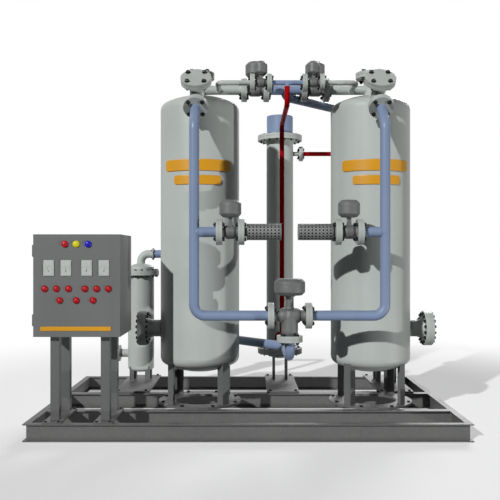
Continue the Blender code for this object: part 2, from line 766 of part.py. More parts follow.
def hot_purge_line():
    """From the heater's front up to the purge manifold."""
    end = Vector((MIDDLE_X, HEATER_Y - HEATER_FRONT_REACH - GAP, HOT_PURGE_LOW_Z))
    route = [
        hot_purge_top(),
        (MIDDLE_X, PURGE_Y, HOT_PURGE_HIGH_Z),
        (MIDDLE_X, HOT_PURGE_BACK_Y, HOT_PURGE_HIGH_Z),
        (MIDDLE_X, HOT_PURGE_BACK_Y, HOT_PURGE_LOW_Z),
        end,
    ]
    pieces = [
        tube(route, SMALL_PIPE_RADIUS, SMALL_BEND, trim_start=0.0),
        flange(end, (0, -1, 0), THIN_FLANGE_RADIUS, THIN_FLANGE_THICKNESS),
    ]
    fuse("hot_purge_line", PIPE_RED, pieces)


def purge_supply_line():
    """From the outlet line, behind tower B, to the heater's side nozzle."""
    start = Vector((MIDDLE_X + HEATER_NOZZLE_REACH + GAP, HEATER_Y, HEATER_NOZZLE_Z))
    end = supply_joint() + Vector((0.0, GAP, 0.0))
    route = [start, (AFTERFILTER_X, HEATER_Y, HEATER_NOZZLE_Z), end]
    pieces = [
        tube(route, SMALL_PIPE_RADIUS, HEATER_Y - end.y - THIN_FLANGE_THICKNESS),
        flange(start, (1, 0, 0), SMALL_FLANGE_RADIUS, SMALL_FLANGE_THICKNESS),
        flange(end, (0, 1, 0), THIN_FLANGE_RADIUS, THIN_FLANGE_THICKNESS),
    ]
    fuse("purge_supply_line", PIPE_RED, pieces)


def drum_profile(radius, height):
    chamfer = DRUM_CHAMFER
    return [
        (0.0, height),
        (radius - chamfer, height),
        (radius, height - chamfer),
        (radius, chamfer),
        (radius - chamfer, 0.0),
        (0.0, 0.0),
    ]


def ball_valve(tag, centre, size):
    """Flanged body along X, bracket above it, actuator drum, and the stem between the legs."""
    centre = Vector(centre)
    half, rim, neck, round_part = size.half_length, size.flange_radius, size.neck_radius, size.ball_half
    back = half - size.flange_thickness
    shoulder = round_part - (size.ball_radius - neck)
    right = [
        (rim, half),
        (rim, back),
        (neck, back),
        (neck, round_part),
        (size.ball_radius, shoulder),
    ]
    left = [(radius, -height) for radius, height in reversed(right)]
    profile = [(0.0, half), *right, *left, (0.0, -half)]
    body = turned(profile, centre, (1, 0, 0))

    body_top = centre.z + size.ball_radius
    boss_top = body_top + size.boss_height
    drum_base = body_top + size.column
    plate_top = drum_base - GAP
    plate_low = plate_top - BRACKET_THICKNESS
    leg_inner = size.stem_radius * 2 + BRACKET_THICKNESS / 2
    leg_outer = leg_inner + BRACKET_THICKNESS
    half_width = BRACKET_WIDTH / 2
    boss_radius = size.stem_radius * BOSS_RATIO
    boss = rod(centre, (centre.x, centre.y, boss_top), boss_radius, STEM_SEGMENTS)
    pieces = [body, boss]
    for y_near, y_far in ((-leg_outer, -leg_inner), (leg_inner, leg_outer)):
        low = (centre.x - half_width, centre.y + y_near, centre.z + size.ball_radius / 3)
        high = (centre.x + half_width, centre.y + y_far, plate_low + WELD_DEPTH)
        pieces.append(box(low, high))
    pieces.append(
        box(
            (centre.x - half_width - WELD_DEPTH, centre.y - leg_outer - WELD_DEPTH, plate_low),
            (centre.x + half_width + WELD_DEPTH, centre.y + leg_outer + WELD_DEPTH, plate_top),
        )
    )
    bore = rod(
        (centre.x, centre.y, boss_top + GAP),
        (centre.x, centre.y, drum_base),
        size.stem_radius + STEM_CLEARANCE,
        STEM_SEGMENTS,
    )
    fuse(f"{tag}_valve", VALVE_GREY, pieces, cuts=[bore])

    base = (centre.x, centre.y, drum_base)
    profile = drum_profile(size.drum_radius, size.drum_height)
    fuse(f"{tag}_actuator", VALVE_GREY, [turned(profile, base)])

    stem_low = boss_top + GAP
    stem_top = drum_base - GAP
    space = plate_low - boss_top
    coupling_low = boss_top + space * (1 - COUPLING_SHARE) / 2
    coupling_high = coupling_low + space * COUPLING_SHARE
    half_x, half_y = size.stem_radius * COUPLING_WIDE, size.stem_radius * COUPLING_NARROW
    coupling = box(
        (centre.x - half_x, centre.y - half_y, coupling_low),
        (centre.x + half_x, centre.y + half_y, coupling_high),
    )
    shaft = rod(
        (centre.x, centre.y, stem_low),
        (centre.x, centre.y, stem_top),
        size.stem_radius,
        STEM_SEGMENTS,
    )
    stem = fuse(f"{tag}_stem", BRIGHT_STEEL, [shaft, coupling])
    hinged_to(stem, None, (centre.x, centre.y, stem_low))


def three_way_valve():
    """Inlet valve: side ports to both risers, lower port to the inlet line, bonnet and drum above."""
    centre = Vector((MIDDLE_X, RISER_Y, INLET_VALVE_Z))
    half, barrel = THREE_WAY_HALF, THREE_WAY_BARREL_RADIUS
    neck = THREE_WAY_NECK_RADIUS
    back = half - FLANGE_THICKNESS
    taper = barrel - neck
    right = [
        (FLANGE_RADIUS, half),
        (FLANGE_RADIUS, back),
        (neck, back),
        (neck, THREE_WAY_BARREL_HALF + taper / 2),
        (barrel - taper / 3, THREE_WAY_BARREL_HALF),
        (barrel, THREE_WAY_BARREL_HALF - taper),
    ]
    left = [(radius, -height) for radius, height in reversed(right)]
    profile = [(0.0, half), *right, *left, (0.0, -half)]
    bottom = centre - UP * THREE_WAY_DROP
    bonnet_top = centre + UP * (THREE_WAY_BONNET_TOP - GAP)
    pieces = [
        turned(profile, centre, (1, 0, 0)),
        rod(bottom + UP * WELD_DEPTH, centre, THREE_WAY_LEG_RADIUS),
        flange(bottom, UP, FLANGE_RADIUS, FLANGE_THICKNESS),
        rod(centre, bonnet_top - UP * WELD_DEPTH, THREE_WAY_BONNET_RADIUS),
        flange(
            bonnet_top, -UP, THREE_WAY_BONNET_RADIUS + BRACKET_THICKNESS * 2, BRACKET_THICKNESS * 2
        ),
    ]
    fuse("inlet_valve", VALVE_GREY, pieces)
    profile = drum_profile(THREE_WAY_DRUM_RADIUS, THREE_WAY_DRUM_HEIGHT)
    fuse("inlet_actuator", VALVE_GREY, [turned(profile, centre + UP * THREE_WAY_BONNET_TOP)])


def muffler(tag, side):
    """Perforated exhaust silencer on a flanged stub, blowing towards the middle."""
    inward = Vector((-side, 0.0, 0.0))
    face_offset = EXHAUST_VALVE_OFFSET - EXHAUST_VALVE.half_length - GAP
    face = Vector((mirrored_x(side, face_offset), RISER_Y, EXHAUST_Z))
    root = face + inward * (EXHAUST_VALVE.flange_thickness + MUFFLER_STUB)
    cap = MUFFLER_CHAMFER
    profile = [
        (0.0, MUFFLER_LENGTH),
        (MUFFLER_RADIUS - cap, MUFFLER_LENGTH),
        (MUFFLER_RADIUS, MUFFLER_LENGTH - cap),
        (MUFFLER_RADIUS, cap),
        (MUFFLER_RADIUS - cap, 0.0),
        (0.0, 0.0),
    ]
    pieces = [
        turned(profile, root, inward),
        rod(face + inward * WELD_DEPTH, root + inward * cap, MUFFLER_STUB_RADIUS, SMALL_SEGMENTS),
        flange(face, inward, EXHAUST_VALVE.flange_radius, EXHAUST_VALVE.flange_thickness),
    ]
    fuse(f"muffler_{tag}", VALVE_GREY, pieces)


def foot_plate(x, width):
    """Plate across the rear bay, resting on the inner beam and the rear rail."""
    low = BEAM_HEIGHT + GAP
    return box(
        (x - width / 2, FOOT_PLATE_FRONT_Y, low),
        (x + width / 2, FOOT_PLATE_REAR_Y, low + BASE_PLATE),
    )


def filter_vessel(name, x, outward):
    """Filter bowl on four angle legs, with its side nozzle."""
    base = Vector((x, FILTER_Y, 0.0))
    floor = BEAM_HEIGHT + GAP + BASE_PLATE - WELD_DEPTH
    head = dished(FILTER_RADIUS)
    profile = [
        (0.0, FILTER_JOINT_Z),
        (FILTER_FLANGE_RADIUS, FILTER_JOINT_Z),
        (FILTER_FLANGE_RADIUS, FILTER_JOINT_Z - FLANGE_THICKNESS),
        (FILTER_RADIUS, FILTER_JOINT_Z - FLANGE_THICKNESS),
    ]
    profile += [(radius, FILTER_LOW - height) for radius, height in reversed(head)]
    pieces = [turned(profile, base, segments=VESSEL_SEGMENTS), foot_plate(x, FOOT_PLATE_WIDTH)]
    outer, wall = FILTER_LEG_SECTION, LEG_WALL
    angle_iron = [(0, 0), (-outer, 0), (-outer, -wall), (-wall, -wall), (-wall, -outer), (0, -outer)]
    for x_side, y_side in ((-1, -1), (1, -1), (1, 1), (-1, 1)):
        turn = math.atan2(y_side, x_side) - math.pi / 4
        half = outer / 2
        corner = (x + x_side * (FILTER_LEG_OFFSET + half), FILTER_Y + y_side * (FILTER_LEG_OFFSET + half))
        place = Matrix.Translation((*corner, floor)) @ Matrix.Rotation(turn, 4, "Z")
        pieces.append(extruded([angle_iron], FILTER_LEG_TOP - floor, place))
    direction = Vector((outward, 0.0, 0.0))
    nozzle = Vector((x, FILTER_Y, FILTER_NOZZLE_Z))
    face = nozzle + direction * FILTER_NOZZLE_REACH
    pieces.append(rod(nozzle, face - direction * WELD_DEPTH, PIPE_RADIUS))
    pieces.append(flange(face, -direction, FILTER_NOZZLE_FLANGE_RADIUS, FILTER_NOZZLE_FLANGE))
    bore = rod(face - direction * NOZZLE_BORE_DEPTH, face + direction * WELD_DEPTH, NOZZLE_BORE_RADIUS)
    fuse(name, SHELL_WHITE, pieces, cuts=[bore])


def filter_head_profile():
    """Cover flange, collar and dome of a filter head; height 0 is the joint face."""
    collar = FLANGE_THICKNESS + FILTER_HEAD_COLLAR
    profile = [(radius, collar + height) for radius, height in dished(FILTER_RADIUS)]
    profile += [
        (FILTER_RADIUS, FLANGE_THICKNESS),
        (FILTER_FLANGE_RADIUS, FLANGE_THICKNESS),
        (FILTER_FLANGE_RADIUS, 0.0),
        (0.0, 0.0),
    ]
    return profile


def prefilter_head():
    """Bolted head with the elbow to the inlet line."""
    base = Vector((PREFILTER_X, FILTER_Y, FILTER_JOINT_Z + GAP))
    face = Vector((PREFILTER_X + FILTER_ELBOW_REACH, FILTER_Y, FILTER_ELBOW_Z))
    route = [base + UP * FLANGE_THICKNESS, (PREFILTER_X, FILTER_Y, FILTER_ELBOW_Z), face]
    pieces = [
        turned(filter_head_profile(), base, segments=VESSEL_SEGMENTS),
        tube(route, PIPE_RADIUS, FILTER_ELBOW_BEND),
        flange(face, (-1, 0, 0), THIN_FLANGE_RADIUS, THIN_FLANGE_THICKNESS),
    ]
    fuse("prefilter_head", SHELL_WHITE, pieces)


def afterfilter_head():
    """Bolted head with the vertical neck that takes the outlet line."""
    base = Vector((AFTERFILTER_X, FILTER_Y, FILTER_JOINT_Z + GAP))
    face = Vector((AFTERFILTER_X, FILTER_Y, AFTERFILTER_JOINT_Z))
    pieces = [
        turned(filter_head_profile(), base, segments=VESSEL_SEGMENTS),
        rod(base + UP * FLANGE_THICKNESS, face - UP * WELD_DEPTH, PIPE_RADIUS),
        flange(face, -UP, THIN_FLANGE_RADIUS, THIN_FLANGE_THICKNESS),
    ]
    fuse("afterfilter_head", SHELL_WHITE, pieces)


def heater():
    """Tall heater shell with bottom end flanges, slim legs, and nozzles at its front and side."""
    base = Vector((MIDDLE_X, HEATER_Y, 0.0))
    rim, thickness = HEATER_FLANGE_RADIUS, HEATER_FLANGE_THICKNESS
    bottom_top = HEATER_LOW + 2 * thickness
    end = [(radius, HEATER_LOW - height) for radius, height in reversed(dished(HEATER_RADIUS))]
    profile = [
        (0.0, HEATER_HIGH),
        (rim, HEATER_HIGH),
        (rim, HEATER_HIGH - thickness),
        (HEATER_RADIUS, HEATER_HIGH - thickness),
        (HEATER_RADIUS, bottom_top),
        (rim, bottom_top),
        (rim, HEATER_LOW),
        *end,
    ]
    pieces = [
        turned(profile, base, segments=VESSEL_SEGMENTS),
        foot_plate(MIDDLE_X, HEATER_PLATE_WIDTH),
    ]
    floor = BEAM_HEIGHT + GAP + BASE_PLATE - WELD_DEPTH
    half = HEATER_LEG_WIDTH / 2
    for x_side, y_side in ((-1, -1), (1, -1), (1, 1), (-1, 1)):
        leg_x = MIDDLE_X + x_side * HEATER_LEG_OFFSET
        leg_y = HEATER_Y + y_side * HEATER_LEG_OFFSET
        low = (leg_x - half, leg_y - half, floor)
        pieces.append(box(low, (leg_x + half, leg_y + half, HEATER_LOW + WELD_DEPTH)))
    side_face = Vector((MIDDLE_X + HEATER_NOZZLE_REACH, HEATER_Y, HEATER_NOZZLE_Z))
    side_root = Vector((MIDDLE_X, HEATER_Y, HEATER_NOZZLE_Z))
    front_face = Vector((MIDDLE_X, HEATER_Y - HEATER_FRONT_REACH, HOT_PURGE_LOW_Z))
    front_root = Vector((MIDDLE_X, HEATER_Y, HOT_PURGE_LOW_Z))
    right, back = Vector((1.0, 0.0, 0.0)), Vector((0.0, 1.0, 0.0))
    pieces += [
        rod(side_root, side_face - right * WELD_DEPTH, SMALL_PIPE_RADIUS, SMALL_SEGMENTS),
        flange(side_face, -right, SMALL_FLANGE_RADIUS, SMALL_FLANGE_THICKNESS),
        rod(front_root, front_face + back * WELD_DEPTH, SMALL_PIPE_RADIUS, SMALL_SEGMENTS),
        flange(front_face, back, THIN_FLANGE_RADIUS, THIN_FLANGE_THICKNESS),
    ]
    fuse("heater", SHELL_WHITE, pieces)


def heater_head():
    """Cover flange with the terminal housing on it."""
    thickness, housing = HEATER_FLANGE_THICKNESS, HEATER_HOUSING_RADIUS
    top = thickness + HEATER_HOUSING_HEIGHT
    profile = [
        (0.0, top),
        (housing, top),
        (housing, thickness),
        (HEATER_FLANGE_RADIUS, thickness),
        (HEATER_FLANGE_RADIUS, 0.0),
        (0.0, 0.0),
    ]
    base = (MIDDLE_X, HEATER_Y, HEATER_HIGH + GAP)
    fuse("heater_head", SHELL_WHITE, [turned(profile, base, segments=VESSEL_SEGMENTS)])


def cabinet_right():
    return CABINET_LEFT_X + CABINET_WIDTH


def cabinet_high():
    return CABINET_LOW_Z + CABINET_HEIGHT


def door_plane():
    """Rear face of the closed door."""
    return CABINET_FRONT_Y + DOOR_DEPTH


def hinge_axis():
    return Vector((CABINET_LEFT_X - HINGE_OFFSET, door_plane(), CABINET_LOW_Z))


def hinge_places():
    """Heights where the two knuckles of each hinge meet."""
    return CABINET_LOW_Z + HINGE_INSET, cabinet_high() - HINGE_INSET


def cabinet():
    """Open-front sheet housing with its mounting plate on standoffs, and the hinges' lower halves."""
    front = door_plane() + GAP
    rear = CABINET_FRONT_Y + CABINET_DEPTH
    shell = box((CABINET_LEFT_X, front, CABINET_LOW_Z), (cabinet_right(), rear, cabinet_high()))
    inside = box(
        (CABINET_LEFT_X + CABINET_WALL, front - CABINET_WALL, CABINET_LOW_Z + CABINET_WALL),
        (cabinet_right() - CABINET_WALL, rear - CABINET_WALL, cabinet_high() - CABINET_WALL),
    )
    housing = fuse("housing", STEEL_GREY, [shell], cuts=[inside])
    plate_rear = rear - CABINET_WALL - MOUNTING_STANDOFF
    left, right = CABINET_LEFT_X + MOUNTING_MARGIN, cabinet_right() - MOUNTING_MARGIN
    low, high = CABINET_LOW_Z + MOUNTING_MARGIN, cabinet_high() - MOUNTING_MARGIN
    pieces = [housing, box((left, plate_rear - MOUNTING_PLATE, low), (right, plate_rear, high))]
    inset = MOUNTING_STANDOFF
    for x in (left + inset, right - inset):
        for z in (low + inset, high - inset):
            start = (x, plate_rear - MOUNTING_PLATE / 2, z)
            pieces.append(rod(start, (x, rear - CABINET_WALL / 2, z), inset / 3, PIN_SEGMENTS))
    axis = hinge_axis()
    for z in hinge_places():
        end = z - GAP / 2
        low_end = (axis.x, axis.y, end - HINGE_LENGTH)
        pieces.append(rod(low_end, (axis.x, axis.y, end), HINGE_RADIUS, PIN_SEGMENTS))
        leaf_low = (axis.x, axis.y + LEAF_NEAR, end - HINGE_LENGTH)
        leaf_high = (CABINET_LEFT_X + CABINET_WALL / 2, axis.y + LEAF_FAR, end)
        pieces.append(box(leaf_low, leaf_high))
    fuse("cabinet", STEEL_GREY, pieces)


def door_place(across, down):
    """A point on the door's front face."""
    x = CABINET_LEFT_X + across * CABINET_WIDTH
    return Vector((x, CABINET_FRONT_Y, cabinet_high() - down))


def button_places():
    return [door_place(across, down) for down, places in BUTTON_ROWS for across in places]


def door():
    """Folded sheet door with lamps, meters and the buttons' bushings."""
    pan = box(
        (CABINET_LEFT_X, CABINET_FRONT_Y, CABINET_LOW_Z),
        (cabinet_right(), door_plane(), cabinet_high()),
    )
    sheet_rear = CABINET_FRONT_Y + DOOR_SHEET
    pocket = box(
        (CABINET_LEFT_X + DOOR_SHEET, sheet_rear, CABINET_LOW_Z + DOOR_SHEET),
        (cabinet_right() - DOOR_SHEET, door_plane() + DOOR_SHEET, cabinet_high() - DOOR_SHEET),
    )
    pieces = [fuse("door_pan", STEEL_GREY, [pan], cuts=[pocket])]
    front = Vector((0.0, -1.0, 0.0))
    for across in LAMP_PLACES:
        spot = door_place(across, LAMP_ROW) - front * WELD_DEPTH
        profile = [(0.0, LAMP_HEIGHT + WELD_DEPTH)]
        for step in (1, 2, 3):
            angle = step * math.pi / 6
            profile.append(
                (LAMP_RADIUS * math.sin(angle), LAMP_HEIGHT * math.cos(angle) + WELD_DEPTH)
            )
        profile.append((LAMP_RADIUS, 0.0))
        profile.append((0.0, 0.0))
        pieces.append(turned(profile, spot, front, PIN_SEGMENTS))
    for across in METER_PLACES:
        spot = door_place(across, METER_ROW)
        half_x, half_z = METER_WIDTH / 2, METER_HEIGHT / 2
        low = (spot.x - half_x, spot.y - METER_PROUD, spot.z - half_z)
        pieces.append(box(low, (spot.x + half_x, spot.y + WELD_DEPTH, spot.z + half_z)))
    bores = []
    hole = BUTTON_RADIUS + BUTTON_CLEARANCE
    for spot in button_places():
        bushing_end = spot - front * BUSHING_DEPTH
        sheet = spot - front * WELD_DEPTH
        pieces.append(rod(sheet, bushing_end, hole + BUSHING_WALL, PIN_SEGMENTS))
        ahead, behind = spot + front * WELD_DEPTH, bushing_end - front * WELD_DEPTH
        bores.append(rod(ahead, behind, hole, SMALL_SEGMENTS, phase=0.0))
    axis = hinge_axis()
    for z in hinge_places():
        start = z + GAP / 2
        high_end = (axis.x, axis.y, start + HINGE_LENGTH)
        pieces.append(rod((axis.x, axis.y, start), high_end, HINGE_RADIUS, PIN_SEGMENTS))
        leaf_low = (axis.x, axis.y - LEAF_FAR, start)
        leaf_high = (CABINET_LEFT_X + DOOR_SHEET / 2, axis.y - LEAF_NEAR, start + HINGE_LENGTH)
        pieces.append(box(leaf_low, leaf_high))
    made = fuse("door", STEEL_GREY, pieces, cuts=bores)
    return hinged_to(made, None, axis)


def buttons(door_pivot):
    """Domed push buttons, each sliding in its bushing."""
    front = Vector((0.0, -1.0, 0.0))
    for number, spot in enumerate(button_places(), start=1):
        root = spot - front * BUTTON_SHANK
        top = BUTTON_SHANK + BUTTON_PROUD
        edge = top - BUTTON_DOME
        crown = [(BUTTON_RADIUS * wide, top - BUTTON_DOME * down) for wide, down in BUTTON_CROWN]
        profile = [(0.0, top), *crown, (BUTTON_RADIUS, edge), (BUTTON_RADIUS, 0.0), (0.0, 0.0)]
        made = fuse(f"button_{number}", BUTTON_RED, [turned(profile, root, front, SMALL_SEGMENTS)])
        hinged_to(made, door_pivot, spot)


def cabinet_stand(tag, x):
    """Front and rear post on a foot bar that spans the front bay."""
    floor = BEAM_HEIGHT + GAP
    half = POST_SECTION / 2
    foot_front = -SKID_WIDTH / 2 + POST_FOOT_MARGIN
    foot_rear = FRONT_BEAM_Y + INNER_BEAM_WIDTH / 2 - POST_FOOT_MARGIN
    pieces = [
        box(
            (x - POST_FOOT_WIDTH / 2, foot_front, floor),
            (x + POST_FOOT_WIDTH / 2, foot_rear, floor + POST_FOOT_THICKNESS),
        )
    ]
    post_low = floor + POST_FOOT_THICKNESS - WELD_DEPTH
    for y in (POST_FRONT_Y, POST_REAR_Y):
        low = (x - half, y - half, post_low)
        pieces.append(box(low, (x + half, y + half, CABINET_LOW_Z - GAP)))
    fuse(f"cabinet_stand_{tag}", STEEL_GREY, pieces)


skid()
for label, facing in (("a", -1), ("b", 1)):
    tower(label, facing)
    stand(label, facing)
    riser(label, facing)
    muffler(label, facing)
    ball_valve(
        f"outlet_{label}",
        (mirrored_x(facing, OUTLET_VALVE_OFFSET), TOWER_Y, OUTLET_Z),
        OUTLET_VALVE,
    )
    ball_valve(
        f"purge_{label}",
        (mirrored_x(facing, PURGE_VALVE_OFFSET), PURGE_Y, PURGE_Z),
        PURGE_VALVE,
    )
    ball_valve(
        f"exhaust_{label}",
        (mirrored_x(facing, EXHAUST_VALVE_OFFSET), RISER_Y, EXHAUST_Z),
        EXHAUST_VALVE,
    )
three_way_valve()
inlet_line()
outlet_line()
purge_manifold()
hot_purge_line()
purge_supply_line()
filter_vessel("prefilter", PREFILTER_X, -1)
prefilter_head()
filter_vessel("afterfilter", AFTERFILTER_X, 1)
afterfilter_head()
heater()
heater_head()
cabinet()
buttons(door())
cabinet_stand("left", POST_LEFT_X)
cabinet_stand("right", POST_RIGHT_X)
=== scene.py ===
import math

import bmesh
import bpy
import numpy as np
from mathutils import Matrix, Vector


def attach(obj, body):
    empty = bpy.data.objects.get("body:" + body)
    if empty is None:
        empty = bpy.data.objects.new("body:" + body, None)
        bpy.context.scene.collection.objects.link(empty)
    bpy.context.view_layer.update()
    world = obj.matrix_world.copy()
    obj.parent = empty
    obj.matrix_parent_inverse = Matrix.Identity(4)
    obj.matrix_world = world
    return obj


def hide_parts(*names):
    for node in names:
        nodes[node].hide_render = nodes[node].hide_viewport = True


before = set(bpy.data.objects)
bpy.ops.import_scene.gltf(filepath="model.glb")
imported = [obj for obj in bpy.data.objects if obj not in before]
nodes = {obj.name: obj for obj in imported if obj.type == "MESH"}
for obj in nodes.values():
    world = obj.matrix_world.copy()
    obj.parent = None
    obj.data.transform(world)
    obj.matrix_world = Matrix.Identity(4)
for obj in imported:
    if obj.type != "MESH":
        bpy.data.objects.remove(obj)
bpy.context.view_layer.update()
print("frame loaded with", len(nodes), "nodes")

# Layout of the dryer, in metres
layout = dict(
    middleX=0.3595, towerSpacing=1.657, towerY=-0.225, towerRadius=0.381, towerLow=0.595, towerShell=2.371,
    outletZ=3.17806, purgeY=-0.585, purgeZ=3.16206, riserY=-0.975, exhaustZ=1.77291, inletZ=1.048,
    filterY=0.785, heaterY=0.895, beamTop=0.15, gap=0.0003,
)
pipe = dict(radius=0.04445, bend=0.10, small=0.02415, smallBend=0.05, around=40, weld=0.0011, short=0.004)
middleX, gap, filterY, heaterY = (layout[key] for key in ("middleX", "gap", "filterY", "heaterY"))
towerHigh = layout["towerLow"] + layout["towerShell"]
beamLevel = layout["beamTop"] + gap  # what stands on the skid starts here
pipeEnd = pipe["short"]  # a pipe stops this far before the joint, inside its flange
smallPipe = (pipe["small"], pipe["smallBend"])
up, right, back = np.eye(3)[[2, 0, 1]]
frontUp, frontDown = (np.array([0.0, -1.0, z]) / math.sqrt(2) for z in (1.0, -1.0))


def at(x, y, z):
    return np.array([x, y, z], float)


def mirrored(side, offset):
    # x on tower A's side (-1) or tower B's side (1) of the middle
    return middleX + side * offset


def towerAt(side, z):
    return at(mirrored(side, layout["towerSpacing"] / 2), layout["towerY"], z)


# Surfaces. Each is an array of rings: rings[i, j] is the point at step i along and j around.


def softCorners(points, radius, steps=4):
    # every inner corner becomes the arc (1 - t)^2 start + 2 t (1 - t) corner + t^2 end
    p = np.asarray(points, float)
    toBack, toNext = p[:-2] - p[1:-1], p[2:] - p[1:-1]
    lengthBack = np.linalg.norm(toBack, axis=1, keepdims=True)
    lengthNext = np.linalg.norm(toNext, axis=1, keepdims=True)
    setBack = np.minimum(radius, 0.45 * np.minimum(lengthBack, lengthNext))
    start = p[1:-1] + toBack / lengthBack * setBack
    end = p[1:-1] + toNext / lengthNext * setBack
    t = np.linspace(0, 1, steps + 1)[None, :, None]
    arc = (1 - t) ** 2 * start[:, None] + 2 * t * (1 - t) * p[1:-1][:, None] + t**2 * end[:, None]
    return np.vstack([p[:1], arc.reshape(-1, p.shape[1]), p[-1:]])


def crossAxes(direction):
    # two unit vectors square to the direction and to each other
    w = np.asarray(direction, float) / np.linalg.norm(direction)
    u = np.cross(back if abs(w[1]) < 0.9 else right, w)
    u /= np.linalg.norm(u)
    return u, np.cross(w, u), w


def turned(profile, base, direction=up, around=48, soft=0.0, steps=4):
    # a (radius, height) profile carried round the axis: base + h w + r (cos a u + sin a v)
    u, v, w = crossAxes(direction)
    r, h = (softCorners(profile, soft, steps) if soft else np.asarray(profile, float)).T
    angle = np.linspace(0, 2 * np.pi, around, endpoint=False)
    spoke = np.cos(angle)[:, None] * u + np.sin(angle)[:, None] * v
    return np.asarray(base, float) + h[:, None, None] * w + r[:, None, None] * spoke[None]


def bentRoute(route, bend, steps=10):
    # straight runs with a circular arc of the bend radius at each corner:
    # centre + (sin((1 - t) turn) first + sin(t turn) last) / sin(turn)
    route = np.asarray(route, float)
    points, seams = [route[0]], []
    for before, corner, after in zip(route, route[1:], route[2:]):
        a = (before - corner) / np.linalg.norm(before - corner)
        b = (after - corner) / np.linalg.norm(after - corner)
        turn = math.pi - math.acos(np.clip(a @ b, -1, 1))
        centre = corner + (a + b) / np.linalg.norm(a + b) * bend / math.cos(turn / 2)
        first, last = (corner + way * bend * math.tan(turn / 2) - centre for way in (a, b))
        t = np.linspace(0, 1, steps + 1)[:, None]
        arc = np.sin((1 - t) * turn) * first + np.sin(t * turn) * last
        seams += [len(points), len(points) + steps]  # where arcs meet runs
        points += list(centre + arc / math.sin(turn))
    return np.array(points + [route[-1]]), seams


def pipeRun(route, radius=pipe["radius"], bend=pipe["bend"]):
    # a circle carried along the route without twisting, with a weld bead at both ends of each elbow:
    # centre(i) + r(i) (cos a u(i) + sin a v(i))
    points, seams = bentRoute(route, bend)
    ahead = np.gradient(points, axis=0)
    ahead[0], ahead[-1] = points[1] - points[0], points[-1] - points[-2]
    ahead /= np.linalg.norm(ahead, axis=1, keepdims=True)
    atSeam = np.isin(np.arange(len(points)), seams)
    which = np.repeat(np.arange(len(points)), np.where(atSeam, 3, 1))
    shift = np.concatenate([[-1, 0, 1] if seam else [0] for seam in atSeam]) * radius * 0.09
    bead = pipe["weld"] * (atSeam[which] & (shift == 0))
    direction = ahead[which]
    centre = points[which] + direction * shift[:, None]
    across = np.empty_like(direction)
    u = crossAxes(direction[0])[0]
    for i, w in enumerate(direction):
        u = u - w * (u @ w)
        u /= np.linalg.norm(u)
        across[i] = u
    side = np.cross(direction, across)
    angle = np.linspace(0, 2 * np.pi, pipe["around"], endpoint=False)[None, :, None]
    spoke = np.cos(angle) * across[:, None] + np.sin(angle) * side[:, None]
    return centre[:, None] + (radius + bead)[:, None, None] * spoke


def prism(outline, start, direction, sideways, length, edge=0.0015):
    # a flat outline carried straight along: start + x u + y v + h w, drawn in a little at both ends
    w, u, flat = (np.asarray(value, float) for value in (direction, sideways, outline))
    v = np.cross(w, u)
    middle, size = (flat.max(0) + flat.min(0)) / 2, (flat.max(0) - flat.min(0)) / 2
    heights = np.array([0, edge * 0.3, edge, length - edge, length - edge * 0.3, length])
    insets = np.array([edge, edge * 0.3, 0, 0, edge * 0.3, edge])
    scale = 1 - insets[:, None] / size[None]
    rings = middle + (flat - middle)[None] * scale[:, None]
    lift = heights[:, None, None] * w
    return np.asarray(start, float) + rings[..., :1] * u + rings[..., 1:] * v + lift


def roundedRectangle(width, height, radius, steps=4):
    # four quarter circles: corner + radius (cos a, sin a)
    corners = np.array([[1, 1], [-1, 1], [-1, -1], [1, -1]]) * [width / 2 - radius, height / 2 - radius]
    turns = np.pi / 2 * (np.arange(4)[:, None] + np.linspace(0, 1, steps + 1)[None])
    arcs = corners[:, None] + radius * np.stack([np.cos(turns), np.sin(turns)], -1)
    return arcs.reshape(-1, 2)


def evenOutline(outline, count):
    # points at equal steps of length along a closed outline
    loop = np.vstack([outline, outline[:1]])
    along = np.concatenate([[0.0], np.cumsum(np.linalg.norm(np.diff(loop, axis=0), axis=1))])
    want = np.linspace(0, along[-1], count, endpoint=False)
    return np.stack([np.interp(want, along, loop[:, k]) for k in range(2)], -1)


def block(low, high, radius=0.002):
    # a box with rounded upright edges and softened rims
    low, high = np.asarray(low, float), np.asarray(high, float)
    size = high - low
    start = (low + high) / 2 * [1, 1, 0] + [0, 0, low[2]]
    radius = min(radius, size[0] * 0.45, size[1] * 0.45)
    edge = min(radius * 0.8, size[2] * 0.3)
    return prism(roundedRectangle(size[0], size[1], radius, 3), start, up, right, size[2], edge)


def disc(face, direction, radius, thickness, edge=0.003, around=64):
    # a round plate standing on its face, turned from the profile of half of it
    corners = [(0, thickness), (radius, thickness), (radius, 0), (0, 0)]
    return turned(corners, face, direction, around, edge)


def stub(start, end, radius):
    # a straight tube from start to end
    axis = np.asarray(end, float) - start
    return turned([(radius, 0), (radius, np.linalg.norm(axis))], start, axis)


def collar(centre, direction, radius, reach=0.012):
    # a fillet weld where a branch of that radius leaves a wall
    profile = [(radius, reach), (radius + reach * 0.35, reach * 0.45), (radius + reach, 0), (radius, -reach)]
    return turned(profile, centre, direction, 48, reach * 0.4, 3)


creaseAngle = 34  # degrees; a sharper fold keeps a hard edge


